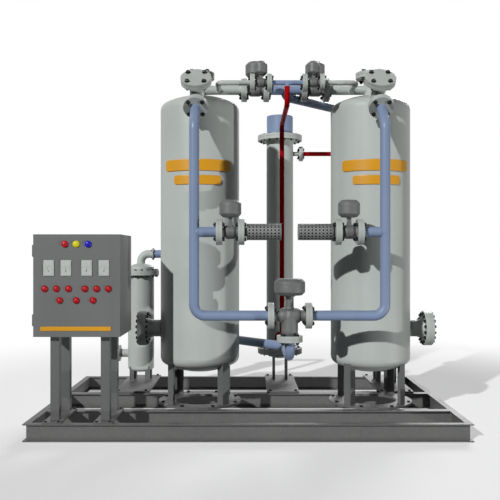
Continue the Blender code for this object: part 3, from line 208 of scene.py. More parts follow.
def finishMesh(mesh, merge=1e-6, angle=creaseAngle, axis=None):
    # merged doubles and faces that look outwards; axis is (point, direction) for an open tube
    work = bmesh.new()
    work.from_mesh(mesh)
    bmesh.ops.remove_doubles(work, verts=work.verts, dist=merge)
    if axis is None:
        bmesh.ops.dissolve_degenerate(work, edges=work.edges, dist=1e-7)
    bmesh.ops.recalc_face_normals(work, faces=work.faces)
    if axis is not None:
        face = work.faces[0]
        spoke = np.array(face.calc_center_median()) - axis[0]
        if (spoke - axis[1] * (spoke @ axis[1])) @ np.array(face.normal) < 0:
            bmesh.ops.reverse_faces(work, faces=work.faces)
    work.to_mesh(mesh)
    work.free()
    mesh.shade_smooth()
    mesh.set_sharp_from_angle(angle=math.radians(angle))
    return mesh


def loftMesh(name, surfaces, closed=False):
    # quads between neighbouring rings; the ends get a fan to their middle, or join where it is closed
    points, faces, first = [], [], 0
    for rings in surfaces:
        count, around = rings.shape[:2]
        grid = first + np.arange(count * around).reshape(count, around)
        across = np.roll(grid, -1, axis=1)
        quads = np.stack([grid, across, np.roll(across, -1, axis=0), np.roll(grid, -1, axis=0)], -1)
        points.append(rings.reshape(-1, 3))
        faces += quads[: count if closed else count - 1].reshape(-1, 4).tolist()
        first += count * around
        if not closed:
            points.append(np.array([rings[0].mean(0), rings[-1].mean(0)]))
            faces += np.stack([np.full(around, first), across[0], grid[0]], -1).tolist()
            faces += np.stack([np.full(around, first + 1), grid[-1], across[-1]], -1).tolist()
            first += 2
    mesh = bpy.data.meshes.new(name)
    mesh.from_pydata(np.vstack(points).tolist(), [], faces)
    mesh.validate()
    return finishMesh(mesh)


def placed(name, data):
    made = bpy.data.objects.new(name, data)
    bpy.context.scene.collection.objects.link(made)
    return made


def piece(name, surfaces, finish, body="frame", replaces=()):
    # one object at the origin, riding on a body of the solid model
    mesh = surfaces if isinstance(surfaces, bpy.types.Mesh) else loftMesh(name, surfaces)
    made = placed(name, mesh)
    mesh.materials.append(finish)
    even = made.modifiers.new("even shading", "WEIGHTED_NORMAL")  # large flat faces keep flat shading
    even.keep_sharp = True
    if replaces:
        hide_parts(*replaces)
    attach(made, body)
    return made


# Materials. Value wraps a socket, so that maths on it adds Math nodes.


def operator(operation, swapped=False):
    # the reflected form takes its two sides the other way round
    def apply(self, other):
        return self.maths(operation, *((other, self) if swapped else (self, other)))

    return apply


class Value:
    def __init__(self, tree, socket):
        self.tree, self.socket = tree, socket

    def maths(self, operation, first, second):
        made = self.tree.nodes.new("ShaderNodeMath")
        made.operation = operation
        connect(self.tree, made.inputs, {0: first, 1: second})
        return Value(self.tree, made.outputs[0])

    __add__, __radd__ = operator("ADD"), operator("ADD", True)
    __mul__, __rmul__ = operator("MULTIPLY"), operator("MULTIPLY", True)
    __gt__, __lt__ = operator("GREATER_THAN"), operator("LESS_THAN")


def connect(tree, sockets, inputs):
    for key, value in inputs.items():
        if isinstance(value, Value):
            tree.links.new(value.socket, sockets[key])
        else:
            sockets[key].default_value = value


class Finish:
    def __init__(self, owner):
        # the owner is a new material, or the world
        self.owner = bpy.data.materials.new(owner) if isinstance(owner, str) else owner
        self.owner.use_nodes = True
        self.tree = self.owner.node_tree
        self.tree.nodes.clear()

    def node(self, kind, settings, inputs, output=0):
        made = self.tree.nodes.new(kind)
        for key, value in settings.items():
            setattr(made, key, value)
        connect(self.tree, made.inputs, inputs)
        return Value(self.tree, made.outputs[output]) if made.outputs else None

    def place(self):
        return self.node("ShaderNodeTexCoord", {}, {}, "Object")

    def noise(self, scale, detail, stretch=(1, 1, 1)):
        spot = self.node("ShaderNodeMapping", {}, {"Vector": self.place(), "Scale": stretch})
        return self.node("ShaderNodeTexNoise", {}, {"Vector": spot, "Scale": scale, "Detail": detail}, "Fac")

    def band(self, value, low, high, outLow=0.0, outHigh=1.0):
        inputs = {"Value": value, "From Min": low, "From Max": high, "To Min": outLow, "To Max": outHigh}
        return self.node("ShaderNodeMapRange", {"clamp": True}, inputs)

    def blend(self, factor, first, second):
        # the colour sockets of a Mix node share their names with its number sockets
        made = self.tree.nodes.new("ShaderNodeMix")
        made.data_type = "RGBA"
        sockets = {socket.name + socket.type: socket for socket in made.inputs}
        connect(self.tree, sockets, {"FactorVALUE": factor, "ARGBA": first, "BRGBA": second})
        return Value(self.tree, [socket for socket in made.outputs if socket.type == "RGBA"][0])

    def toned(self, noise, colour, dark, light):
        # the colour times dark where the noise is low and times light where it is high
        return self.blend(self.band(noise, 0.3, 0.7), rgb(colour, dark), rgb(colour, light))

    def surface(self, colour, roughness, height, depth, metallic=0.0, coat=0.0, specular=0.5):
        normal = self.node("ShaderNodeBump", {}, {"Height": height, "Distance": depth, "Strength": 1.0})
        shader = self.node("ShaderNodeBsdfPrincipled", {}, {
            "Base Color": colour, "Roughness": roughness, "Metallic": metallic, "Coat Weight": coat,
            "Specular IOR Level": specular, "Normal": normal,
        })
        self.node("ShaderNodeOutputMaterial", {}, {"Surface": shader})
        return self.owner


def rgb(colour, level=1.0):
    return tuple(channel * level for channel in colour) + (1.0,)


enamel = dict(
    drift=1.7, speck=26.0, skin=190.0, depth=0.00035, streak=4.0, streakShape=(2.5, 2.5, 0.12), streakTone=0.84,
    chip=48.0, chipAbove=0.69, bareTone=(0.34, 0.33, 0.31), dustTone=(0.20, 0.18, 0.15), dustRough=0.3,
)


def paint(name, colour, roughness, peel, dust=0.0, dustTo=0.5, specular=0.3, chips=0.0):
    # slow tone drift, faint streaks running down, fine orange peel, small chips, and dust up to a height
    finish, e = Finish(name), enamel
    drift, speck = finish.noise(e["drift"], 4.0), finish.noise(e["speck"], 5.0)
    tone = finish.toned(drift, colour, 0.94, 1.05)
    streak = finish.band(finish.noise(e["streak"], 4.0, e["streakShape"]), 0.5, 0.75, 0.0, 0.35)
    tone = finish.blend(streak, tone, rgb(colour, e["streakTone"]))
    if chips:
        bare = finish.noise(e["chip"], 6.0) > e["chipAbove"]
        tone = finish.blend(bare * chips, tone, rgb(e["bareTone"]))
    height = finish.node("ShaderNodeSeparateXYZ", {}, {"Vector": finish.place()}, "Z")
    low = finish.band(height, 0.0, dustTo, dust, 0.0) * finish.band(speck, 0.35, 0.75)
    tone = finish.blend(low, tone, rgb(e["dustTone"]))
    gloss = finish.band(drift, 0.3, 0.7, roughness - 0.05, roughness + 0.06) + low * e["dustRough"]
    skin = finish.noise(e["skin"], 2.0) * 0.7 + speck * 0.3
    return finish.surface(tone, gloss, skin, e["depth"] * peel, specular=specular)


def cast(name, colour):
    # painted casting: pebbled skin, darker pits, uneven gloss
    finish = Finish(name)
    grain, drift = finish.noise(95.0, 4.0), finish.noise(6.0, 4.0)
    tone = finish.toned(drift, colour, 0.88, 1.08)
    tone = finish.blend(finish.band(grain, 0.25, 0.42, 0.45, 0.0), tone, rgb(colour, 0.55))
    return finish.surface(tone, finish.band(drift, 0.3, 0.7, 0.42, 0.56), grain, 0.0012)


def metal(name, colour, roughness, stretch=(1, 1, 1), scale=60.0):
    # bare metal: fine grain, drawn out where the stretch is uneven
    finish = Finish(name)
    grain = finish.noise(scale, 4.0, stretch)
    gloss = finish.band(grain, 0.3, 0.7, roughness - 0.06, roughness + 0.08)
    return finish.surface(finish.toned(grain, colour, 0.85, 1.1), gloss, grain, 0.0002, metallic=1.0)


def plastic(name, colour, roughness, coat=0.0):
    # moulded plastic: nearly even, with a little drift in tone and gloss
    finish = Finish(name)
    drift = finish.noise(40.0, 3.0)
    tone = finish.toned(drift, colour, 0.95, 1.04)
    gloss = finish.band(drift, 0.3, 0.7, roughness - 0.03, roughness + 0.05)
    return finish.surface(tone, gloss, drift, 0.0001, coat=coat, specular=0.22)


shellPaint = paint("off-white tower enamel", (0.40, 0.43, 0.41), 0.44, 1.0, dust=0.10, dustTo=0.9)
flangePaint = paint("light grey flange enamel", (0.37, 0.398, 0.379), 0.44, 0.8, dust=0.10)
steelPaint = paint("mid-grey skid enamel", (0.101, 0.104, 0.103), 0.50, 1.2, dust=0.20, dustTo=0.35, chips=0.25)
cabinetPaint = paint("grey cabinet powder coat", (0.121, 0.126, 0.124), 0.52, 1.6)
pipePaint = paint("light blue pipe enamel", (0.178, 0.236, 0.360), 0.40, 0.8, dust=0.05, dustTo=0.8)
redPaint = paint("deep red pipe enamel", (0.33, 0.002, 0.004), 0.52, 0.8, dust=0.05, dustTo=0.8, specular=0.03)
orangePaint = paint("orange bar enamel", (0.58, 0.27, 0.008), 0.42, 0.6)
valveCast = cast("grey valve casting paint", (0.108, 0.113, 0.110))
mufflerSteel = metal("perforated silencer steel", (0.185, 0.191, 0.188), 0.50, (4, 1, 1))
boltSteel = metal("black oxide bolt steel", (0.028, 0.028, 0.030), 0.42)
stemSteel = metal("turned stem steel", (0.55, 0.55, 0.54), 0.28, (1, 1, 6), 90.0)
darkPacking = plastic("black silencer packing", (0.012, 0.012, 0.013), 0.8)
buttonRed = plastic("red button plastic", (0.40, 0.003, 0.010), 0.32, coat=0.08)
# the guard rings are real parts, but their red is a darker copy of the button red: painted shade standing in
# for the buttons' shaded sides
guardRedPaintedShade = plastic("dark red button guard", (0.26, 0.003, 0.008), 0.40)
lampYellow = plastic("yellow lamp lens", (0.60, 0.56, 0.01), 0.25, coat=0.1)
lampBlue = plastic("blue lamp lens", (0.006, 0.006, 0.42), 0.25, coat=0.1)
dialPale = plastic("pale meter face", (0.42, 0.445, 0.425), 0.45, coat=0.1)
dialInk = plastic("dark grey dial ink", (0.08, 0.08, 0.08), 0.5)
bezelSteel = metal("dull bezel ring", (0.30, 0.30, 0.30), 0.35)
print("finishes made")

# Flange joints and their bolts; a grip is what lies below and above the joint's plane between washers

bolt = dict(head=0.46, chamfer=0.14, washer=1.298, washerHeight=0.12, thread=0.55, threadEnd=0.22)
flangeKinds = dict(
    main=dict(radius=0.1125, thickness=0.0272, bolts=4, circle=0.088, width=0.030),
    small=dict(radius=0.083, thickness=0.0217, bolts=4, circle=0.062, width=0.024),
    thin=dict(radius=0.066, thickness=0.009, bolts=4, circle=0.055, width=0.014),
    cover=dict(radius=0.139, thickness=0.030, bolts=4, circle=0.106, width=0.034),
    manway=dict(radius=0.16625, thickness=0.0398, bolts=16, circle=0.1425, width=0.026),
    filter=dict(radius=0.20, thickness=0.0272, bolts=16, circle=0.178, width=0.024),
    heater=dict(radius=0.25, thickness=0.031, bolts=16, circle=0.215, width=0.020),
)


def hexBolt(centre, axis, spoke, width, grip):
    # washer and six-sided head above the grip, washer, nut and the thread's end below it, each from
    # rings centre + h axis + r (cos a u + sin a v)
    side = np.cross(axis, spoke)

    def rings(corners, sizes):
        angle = np.arange(corners)[:, None] * 2 * np.pi / corners
        ray = np.cos(angle) * spoke + np.sin(angle) * side
        return np.array([centre + height * axis + radius * ray for radius, height in sizes])

    tall, flat, half = width * bolt["head"], width * bolt["washerHeight"], width / 2
    wide, rim, thread = half * bolt["washer"], half / math.cos(math.pi / 6), half * bolt["thread"]
    parts = []
    for start, way in ((grip[1], 1), (-grip[0], -1)):
        foot, top = start + way * flat, start + way * (flat + tall)
        parts.append(rings(12, [(wide, start), (wide, foot)]))
        edge = top - way * tall * bolt["chamfer"]
        parts.append(rings(6, [(rim, foot), (rim, edge), (rim * (1 - bolt["chamfer"]), top)]))
    end = -grip[0] - flat - tall
    parts.append(rings(12, [(thread, end + 0.001), (thread, end - width * bolt["threadEnd"])]))
    return parts


def boltCircle(centre, axis, radius, count, width, grip):
    # bolts at even angles, the first half a step from the first cross axis
    u, v, w = crossAxes(axis)
    parts = []
    for angle in 2 * math.pi * (np.arange(count) + 0.5) / count:
        spoke = math.cos(angle) * u + math.sin(angle) * v
        parts += hexBolt(np.asarray(centre) + radius * spoke, w, spoke, width, grip)
    return parts


def standingBolts(places, low, width, sink):
    # bolts through a foot whose top is at the height low, for each (x, y)
    return [part for x, y in places for part in hexBolt(at(x, y, low), up, right, width, (sink, 0.0))]


def flange(kind, joint, facing):
    # one disc of a joint, on the side it faces, half the gap off the joint's plane
    k = flangeKinds[kind]
    return disc(joint + gap / 2 * facing, facing, k["radius"], k["thickness"] - gap / 2)


def jointBolts(kind, *places):
    # each place is a joint's centre and its axis
    k = flangeKinds[kind]
    grip = (k["thickness"], k["thickness"])
    return [part for centre, axis in places
            for part in boltCircle(centre, axis, k["circle"], k["bolts"], k["width"], grip)]


# Adsorber towers

tower = dict(
    neckRadius=0.0625, neckLength=0.17, neckRoot=0.03, teeRadius=0.0635, teeReach=0.422, teeRise=0.076,
    teeRun=0.118, teeRoot=0.20, teeBranch=0.200, manwayZ=0.861, manwayNeck=0.081, manwayReach=0.512,
    manwayRoot=0.3, hubFlare=0.62, hubLength=0.06, purgeTakeoff=0.6395, overlap=0.02, around=144,
    seamWidth=0.010, seamHeight=0.0009, seamInset=0.012,
)
valvePlaces = dict(
    outlet=dict(offset=0.2915, y=layout["towerY"], z=layout["outletZ"], half=0.1075, kind="main", neck=0.045,
                ball=0.0605, ballHalf=0.062, column=0.0615, drum=0.095, tall=0.147, stem=0.012, boss=0.012),
    purge=dict(offset=0.242, y=layout["purgeY"], z=layout["purgeZ"], half=0.0795, kind="small", neck=0.030,
               ball=0.0445, ballHalf=0.044, column=0.0195, drum=0.060, tall=0.134, stem=0.008, boss=0.004),
    exhaust=dict(offset=0.514, y=layout["riserY"], z=layout["exhaustZ"], half=0.095, kind="main", neck=0.045,
                 ball=0.0605, ballHalf=0.050, column=0.0665, drum=0.095, tall=0.149, stem=0.012, boss=0.012),
)


def valveEnd(word, side, way):
    # middle of a valve's joint face: way is 1 for the one away from the dryer's middle, -1 for the other
    v = valvePlaces[word]
    return at(mirrored(side, v["offset"] + way * v["half"]), v["y"], v["z"])


def dishedHead(radius, steps=8):
    # torispherical head: (crown sin a, crown cos a - drop), then a knuckle of a fifth of the radius
    crown, knuckle = 2.0 * radius, 0.2 * radius
    centre = radius - knuckle
    drop = math.sqrt((crown - knuckle) ** 2 - centre**2)
    joint = math.asin(centre / (crown - knuckle))
    a = np.linspace(0.004, joint, steps)
    b = np.linspace(joint, np.pi / 2, steps)[1:]
    top = np.stack([crown * np.sin(a), crown * np.cos(a) - drop], -1)
    return np.vstack([top, np.stack([centre + knuckle * np.sin(b), knuckle * np.cos(b)], -1)])


def seamRing(radius, height):
    # a low weld bead round a shell
    w, h = tower["seamWidth"] / 2, tower["seamHeight"]
    return [(radius, height + w), (radius + h, height + w / 3), (radius + h, height - w / 3),
            (radius, height - w)]


def lowerHead(radius, low):
    return (dishedHead(radius) * [1, -1])[::-1] + [0, low]


def vesselProfile(radius, length):
    # upper head, seams at both ends and at half height, lower head
    inset = tower["seamInset"]
    seams = [seamRing(radius, height) for height in (length - inset, length / 2, inset)]
    return np.vstack([dishedHead(radius) + [0, length], *seams, lowerHead(radius, 0.0)])


def teeCentre(side):
    return towerAt(side, towerHigh + tower["teeRise"]) - back * tower["teeReach"]


def makeTower(letter, side):
    t, tag, outward = tower, letter.lower(), side * right
    cover, hub = flangeKinds["cover"]["thickness"], flangeKinds["manway"]
    apex = towerHigh + dishedHead(layout["towerRadius"])[0, 1]
    topJoint = towerAt(side, apex + t["neckLength"] + cover)
    tee = teeCentre(side)
    fillJoint = tee + frontUp * (t["teeRun"] + cover)
    riserJoint = tee + frontDown * t["teeBranch"]
    manway = towerAt(side, t["manwayZ"])
    manwayJoint = manway + outward * (t["manwayReach"] + hub["thickness"])
    outletJoint, purgeJoint = valveEnd("outlet", side, 1), valveEnd("purge", side, 1)
    takeoff = at(mirrored(side, t["purgeTakeoff"]), layout["towerY"], layout["purgeZ"])
    purgeCorner = at(takeoff[0], layout["purgeY"], layout["purgeZ"])
    manwayHub = [(hub["radius"] * t["hubFlare"], 0), (t["manwayNeck"] + 0.004, t["hubLength"] - 0.01),
                 (t["manwayNeck"], t["hubLength"])]
    shell = vesselProfile(layout["towerRadius"], layout["towerShell"])
    surfaces = [
        turned(shell, towerAt(side, layout["towerLow"]), up, t["around"]),
        stub(towerAt(side, apex - t["neckRoot"]), topJoint - up * t["overlap"], t["neckRadius"]),
        collar(towerAt(side, apex - 0.002), up, t["neckRadius"]),
        stub(tee - frontUp * t["teeRoot"], fillJoint - frontUp * t["overlap"], t["teeRadius"]),
        stub(tee, riserJoint - frontDown * t["overlap"] / 2, t["teeRadius"]),
        stub(manway + outward * t["manwayRoot"], manwayJoint - outward * t["overlap"], t["manwayNeck"]),
        turned(manwayHub, manwayJoint - outward * hub["thickness"], -outward),
        collar(manway + outward * (layout["towerRadius"] - 0.004), outward, t["manwayNeck"], 0.014),
        pipeRun([towerAt(side, layout["outletZ"]), outletJoint + outward * pipeEnd]),
        pipeRun([takeoff, purgeCorner, purgeJoint + outward * pipeEnd], *smallPipe),
        collar(takeoff - back * (pipe["radius"] - 0.004), -back, pipe["small"], 0.006),
        flange("cover", topJoint, -up),
        flange("cover", fillJoint, -frontUp),
        flange("main", riserJoint, -frontDown),
        flange("manway", manwayJoint, -outward),
        flange("main", outletJoint, outward),
        flange("small", purgeJoint, outward),
    ]
    piece(f"towerShell{letter}", surfaces, shellPaint, replaces=[f"tower_{tag}"])
    covers = dict(top=("cover", topJoint, up), fill=("cover", fillJoint, frontUp),
                  manway=("manway", manwayJoint, outward))
    for word, place in covers.items():
        cover = [f"{word}_cover_{tag}"]
        piece(f"{word}Cover{letter}", [flange(*place)], flangePaint, replaces=cover)
    bolts = jointBolts("cover", (topJoint, up), (fillJoint, frontUp))
    bolts += jointBolts("main", (riserJoint, frontDown)) + jointBolts("manway", (manwayJoint, outward))
    piece(f"towerBolts{letter}", bolts, boltSteel)


# Plain raised bars on each tower's front; a row is (height, tall, half angle)

bars = dict(rows=((2.405, 0.105, 0.90), (2.268, 0.085, 0.60)), proud=0.010, sunk=0.004, corner=0.28, points=160)


def curvedBar(x, z, tall, halfAngle):
    # a rounded strip bent round the shell: (x + r sin(s / radius), y - r cos(s / radius), z + h)
    radius, y, proud = layout["towerRadius"], layout["towerY"], bars["proud"]
    half = np.array([halfAngle * radius, tall / 2])
    outline = evenOutline(roundedRectangle(2 * half[0], tall, tall * bars["corner"], 6), bars["points"])
    depths = np.array([-bars["sunk"], proud * 0.6, proud * 0.92, proud])
    insets = np.array([0.0, 0.0, 0.0014, 0.0045])
    rings = outline[None] * (1 - insets[:, None] / half[None])[:, None]
    steps = np.linspace(1, 0.02, 14)[:, None, None]  # the face closes inwards, following the shell
    rings = np.vstack([rings, rings[-1][None] * steps])
    r = radius + np.concatenate([depths, np.full(len(steps), proud)])[:, None]
    angle = rings[..., 0] / radius
    return np.stack([x + r * np.sin(angle), y - r * np.cos(angle), z + rings[..., 1]], -1)


def makeBars(letter, side):
    strips = [curvedBar(towerAt(side, 0)[0], *row) for row in bars["rows"]]
    piece(f"raisedBars{letter}", strips, orangePaint)


# Blue and red pipework

routes = dict(
    inletLow=0.688, inletTurnY=-0.27, inletCornerX=-0.60, threeWayHalf=0.1634, threeWayDrop=0.1995,
    outletDrop=0.064, hotHigh=2.96, hotBackY=0.415, hotLow=0.66, heaterNozzleZ=2.72,
)
vessels = dict(
    prefilterX=-1.20, afterfilterX=1.525, radius=0.1445, low=0.325, jointZ=1.3745, collar=0.022, seamZ=1.0,
    nozzleZ=0.476, nozzleRoot=0.08, nozzleReach=0.25, nozzleRadius=0.09, nozzleThickness=0.02, bore=0.039,
    boreDepth=0.10, raised=0.018, elbowZ=1.584, elbowReach=0.136, elbowBend=0.085, elbowEnd=0.003,
    afterfilterJointZ=1.60, legOffset=0.085, legSize=0.05, legWall=0.008, legTop=0.34, plateWidth=0.36,
)
heaterSizes = dict(
    radius=0.151, low=0.462, high=2.8935, seamZ=1.70, housing=0.1485, housingTall=0.218, groove=0.002,
    nozzleReach=0.2385, frontReach=0.20, legOffset=0.07, legWidth=0.026, plateWidth=0.33,
)
footPlates = dict(front=0.155, rear=1.14, tall=0.02, bolts=(0.19, 1.115), boltSpread=0.4, boltWidth=0.024)
thinFlange = flangeKinds["thin"]["thickness"]


def makeRiser(letter, side):
    outward, y = side * right, layout["riserY"]
    tee = teeCentre(side)
    top = tee + frontDown * tower["teeBranch"]
    corner = at(tee[0], y, tee[2] - (tee[1] - y))
    low, high = (at(tee[0], y, layout[key]) for key in ("inletZ", "exhaustZ"))
    joint = at(mirrored(side, routes["threeWayHalf"]), y, layout["inletZ"])
    branch = valveEnd("exhaust", side, 1)
    wall = high - outward * (pipe["radius"] - 0.006)
    surfaces = [
        pipeRun([top + frontDown * pipeEnd, corner, low, joint + outward * pipeEnd]),
        pipeRun([high, branch + outward * pipeEnd]),
        collar(wall, -outward, pipe["radius"] - 0.002, 0.007),
    ]
    piece(f"riserPipe{letter}", surfaces, pipePaint, replaces=[f"riser_{letter.lower()}"])
    discs = [flange("main", top, frontDown), flange("main", joint, outward), flange("main", branch, outward)]
    piece(f"riserFlanges{letter}", discs, flangePaint)


def makeLines():
    riserY, towerY, afterX = layout["riserY"], layout["towerY"], vessels["afterfilterX"]
    # wet air: from the prefilter's elbow down and forwards to the foot of the three-way valve
    elbow = at(vessels["prefilterX"] + vessels["elbowReach"], filterY, vessels["elbowZ"])
    foot = at(middleX, riserY, layout["inletZ"] - routes["threeWayDrop"])
    cornerX, low = routes["inletCornerX"], routes["inletLow"]
    route = [elbow + right * vessels["elbowEnd"], (cornerX, filterY, vessels["elbowZ"]),
             (cornerX, filterY, low), (middleX, routes["inletTurnY"], low), (middleX, riserY, low),
             foot - up * pipeEnd]
    piece("inletPipe", [pipeRun(route)], pipePaint, replaces=["inlet_line"])
    # dry air: between the outlet valves, back over the heater and down to the afterfilter
    ends = [valveEnd("outlet", side, -1) for side in (-1, 1)]
    high = layout["outletZ"]
    drop = high - routes["outletDrop"]
    end = at(afterX, filterY, vessels["afterfilterJointZ"])
    supply = at(afterX, filterY + pipe["radius"] + 2 * thinFlange, routes["heaterNozzleZ"])
    route = [(middleX, towerY, high), (middleX, towerY, drop), (middleX + filterY - towerY, filterY, drop),
             (afterX, filterY, drop), end + up * pipeEnd]
    surfaces = [
        pipeRun([ends[0] + right * pipeEnd, ends[1] - right * pipeEnd]),
        pipeRun(route, pipe["radius"], routes["outletDrop"] - 0.002),
        stub(at(afterX, filterY, supply[2]), supply - back * pipeEnd, pipe["small"]),
    ]
    piece("outletPipe", surfaces, pipePaint, replaces=["outlet_line"])
    # hot purge air: from the heater's low front nozzle up to the manifold between the purge valves
    purgeEnds = [valveEnd("purge", side, -1) for side in (-1, 1)]
    manifold = at(middleX, layout["purgeY"], layout["purgeZ"])
    hotTop = manifold - up * (pipe["small"] + thinFlange)
    surfaces = [
        pipeRun([purgeEnds[0] + right * pipeEnd, purgeEnds[1] - right * pipeEnd], *smallPipe),
        stub(manifold, hotTop + up * gap, pipe["small"]),
    ]
    piece("purgeManifold", surfaces, pipePaint, replaces=["purge_manifold"])
    front = at(middleX, heaterY - heaterSizes["frontReach"], routes["hotLow"])
    high, backY = routes["hotHigh"], routes["hotBackY"]
    route = [hotTop, (middleX, layout["purgeY"], high), (middleX, backY, high),
             (middleX, backY, routes["hotLow"]), front - back * pipeEnd]
    surfaces = [pipeRun(route, *smallPipe), flange("thin", front, -back)]
    piece("hotPurgePipe", surfaces, redPaint, replaces=["hot_purge_line"])
    # purge air supply: from the dry line to the heater's high side nozzle
    nozzle = at(middleX + heaterSizes["nozzleReach"], heaterY, routes["heaterNozzleZ"])
    route = [nozzle + right * pipeEnd, (afterX, heaterY, routes["heaterNozzleZ"]), supply + back * pipeEnd]
    supplyRun = pipeRun(route, pipe["small"], heaterY - supply[1] - thinFlange - gap)
    piece("purgeSupplyPipe", [supplyRun], redPaint, replaces=["purge_supply_line"])
    discs = [
        flange("thin", elbow, right), flange("main", foot, -up),
        flange("main", ends[0], right), flange("main", ends[1], -right),
        flange("thin", end, up), flange("thin", supply, -back),
        flange("small", purgeEnds[0], right), flange("small", purgeEnds[1], -right),
        flange("small", nozzle, right), flange("thin", supply, back),
    ]
    piece("lineFlanges", discs, flangePaint)
    bolts = jointBolts("thin", (elbow, right), (end, up), (supply, back), (front, back))
    bolts += jointBolts("small", (nozzle, right)) + jointBolts("main", (foot, up))
    piece("lineBolts", bolts, boltSteel)


# Valves

bracket = dict(
    width=0.033, thickness=0.006, coupling=0.55, couplingX=1.6, couplingY=1.2, boss=1.5, clearance=0.0006,
    plateEdge=0.002, plateCorner=0.004, flare=0.010, seat=0.004, neckRun=0.006, end=0.005,
    chamfer=0.028, seamAt=0.56, seamHalf=0.003, seamDepth=0.0016,
)
threeWay = dict(
    barrel=0.066, barrelHalf=0.085, neck=0.048, leg=0.0725, bonnet=0.035, bonnetTop=0.177, drum=0.134,
    tall=0.143, flare=0.012, legRoot=0.05, legTaper=0.016, legEnd=0.030, legFoot=0.014, rim=0.012,
    skirt=0.010, bonnetRoot=0.02,
)


def drumSurface(base, radius, tall):
    # an actuator drum: chamfered at both ends, with a groove where its halves meet
    b = bracket
    c, seam, half = b["chamfer"], tall * b["seamAt"], b["seamHalf"]
    profile = [(0, tall), (radius - c, tall), (radius, tall - c), (radius, seam + half),
               (radius - b["seamDepth"], seam), (radius, seam - half), (radius, c), (radius - c, 0), (0, 0)]
    return turned(profile, base, up, 72, 0.006, 3)


def mirroredProfile(half, end):
    # half a profile and its mirror image (r, -h), with a flat face at both ends
    return [(0, end), *half, *((r, -h) for r, h in half[::-1]), (0, -end)]


def levelRing(outline, z):
    # a flat outline at the height z
    return np.column_stack([outline, np.full(len(outline), z)])


def makeValveEnds(word, letter, kind, centre, half, more=()):
    # the flanges and bolts at both ends of a valve's body
    low, high = centre - half * right, centre + half * right
    discs = [flange(kind, low, right), flange(kind, high, -right), *more]
    piece(f"{word}Flanges{letter}", discs, flangePaint)
    piece(f"{word}Bolts{letter}", jointBolts(kind, (low, right), (high, right)), boltSteel)


def makeValve(word, letter, side):
    v, b, tag = valvePlaces[word], bracket, letter.lower()
    centre = at(mirrored(side, v["offset"]), v["y"], v["z"])
    x, y, z = centre
    backFace = v["half"] - flangeKinds[v["kind"]]["thickness"]
    half = [(v["neck"] + b["flare"], backFace + b["seat"]), (v["neck"], backFace - b["neckRun"]),
            (v["neck"], v["ballHalf"]), (v["ball"], v["ballHalf"] - (v["ball"] - v["neck"]))]
    # the heights of the boss, the plate and the drum, one above the other
    bossTop = z + v["ball"] + v["boss"]
    drumBase = z + v["ball"] + v["column"]
    plateTop = drumBase - gap
    plateLow = plateTop - b["thickness"]
    legInner = v["stem"] * 2 + b["thickness"] / 2
    legOuter = legInner + b["thickness"]
    w, bossRadius = b["width"] / 2, v["stem"] * b["boss"]
    surfaces = [
        turned(mirroredProfile(half, backFace + b["end"]), centre, right, 64, 0.010, 5),
        turned([(0, bossTop - z), (bossRadius, bossTop - z), (bossRadius, 0.01)], centre, up, 48, 0.0015),
    ]
    for near, far in ((-legOuter, -legInner), (legInner, legOuter)):
        surfaces.append(block((x - w, y + near, z + v["ball"] / 3), (x + w, y + far, plateLow + 0.001)))
    piece(f"{word}Valve{letter}", surfaces, valveCast, replaces=[f"{word}_{tag}_valve"])
    plate = roundedRectangle(2 * (w + b["plateEdge"]), 2 * (legOuter + b["plateEdge"]), b["plateCorner"])
    hole = plate / np.linalg.norm(plate, axis=1, keepdims=True) * (v["stem"] + b["clearance"])
    loop = ((plate, plateTop), (plate, plateLow), (hole, plateLow), (hole, plateTop))
    rings = np.array([levelRing(outline + centre[:2], height) for outline, height in loop])
    name = f"{word}ValvePlate{letter}"
    piece(name, loftMesh(name, [rings], closed=True), valveCast)
    makeValveEnds(word, letter, v["kind"], centre, v["half"])
    drum = drumSurface(at(x, y, drumBase), v["drum"], v["tall"])
    piece(f"{word}Drum{letter}", [drum], valveCast, replaces=[f"{word}_{tag}_actuator"])
    low, s, space = bossTop + gap, v["stem"], plateLow - bossTop
    start = bossTop + space * (1 - b["coupling"]) / 2
    wide, deep = s * b["couplingX"], s * b["couplingY"]
    parts = [
        turned([(0, plateTop - low), (s, plateTop - low), (s, 0), (0, 0)], at(x, y, low), up, 32, 0.0008),
        block((x - wide, y - deep, start), (x + wide, y + deep, start + space * b["coupling"])),
    ]
    piece(f"{word}Stem{letter}", parts, stemSteel, f"{word}_{tag}_stem", [f"{word}_{tag}_stem"])


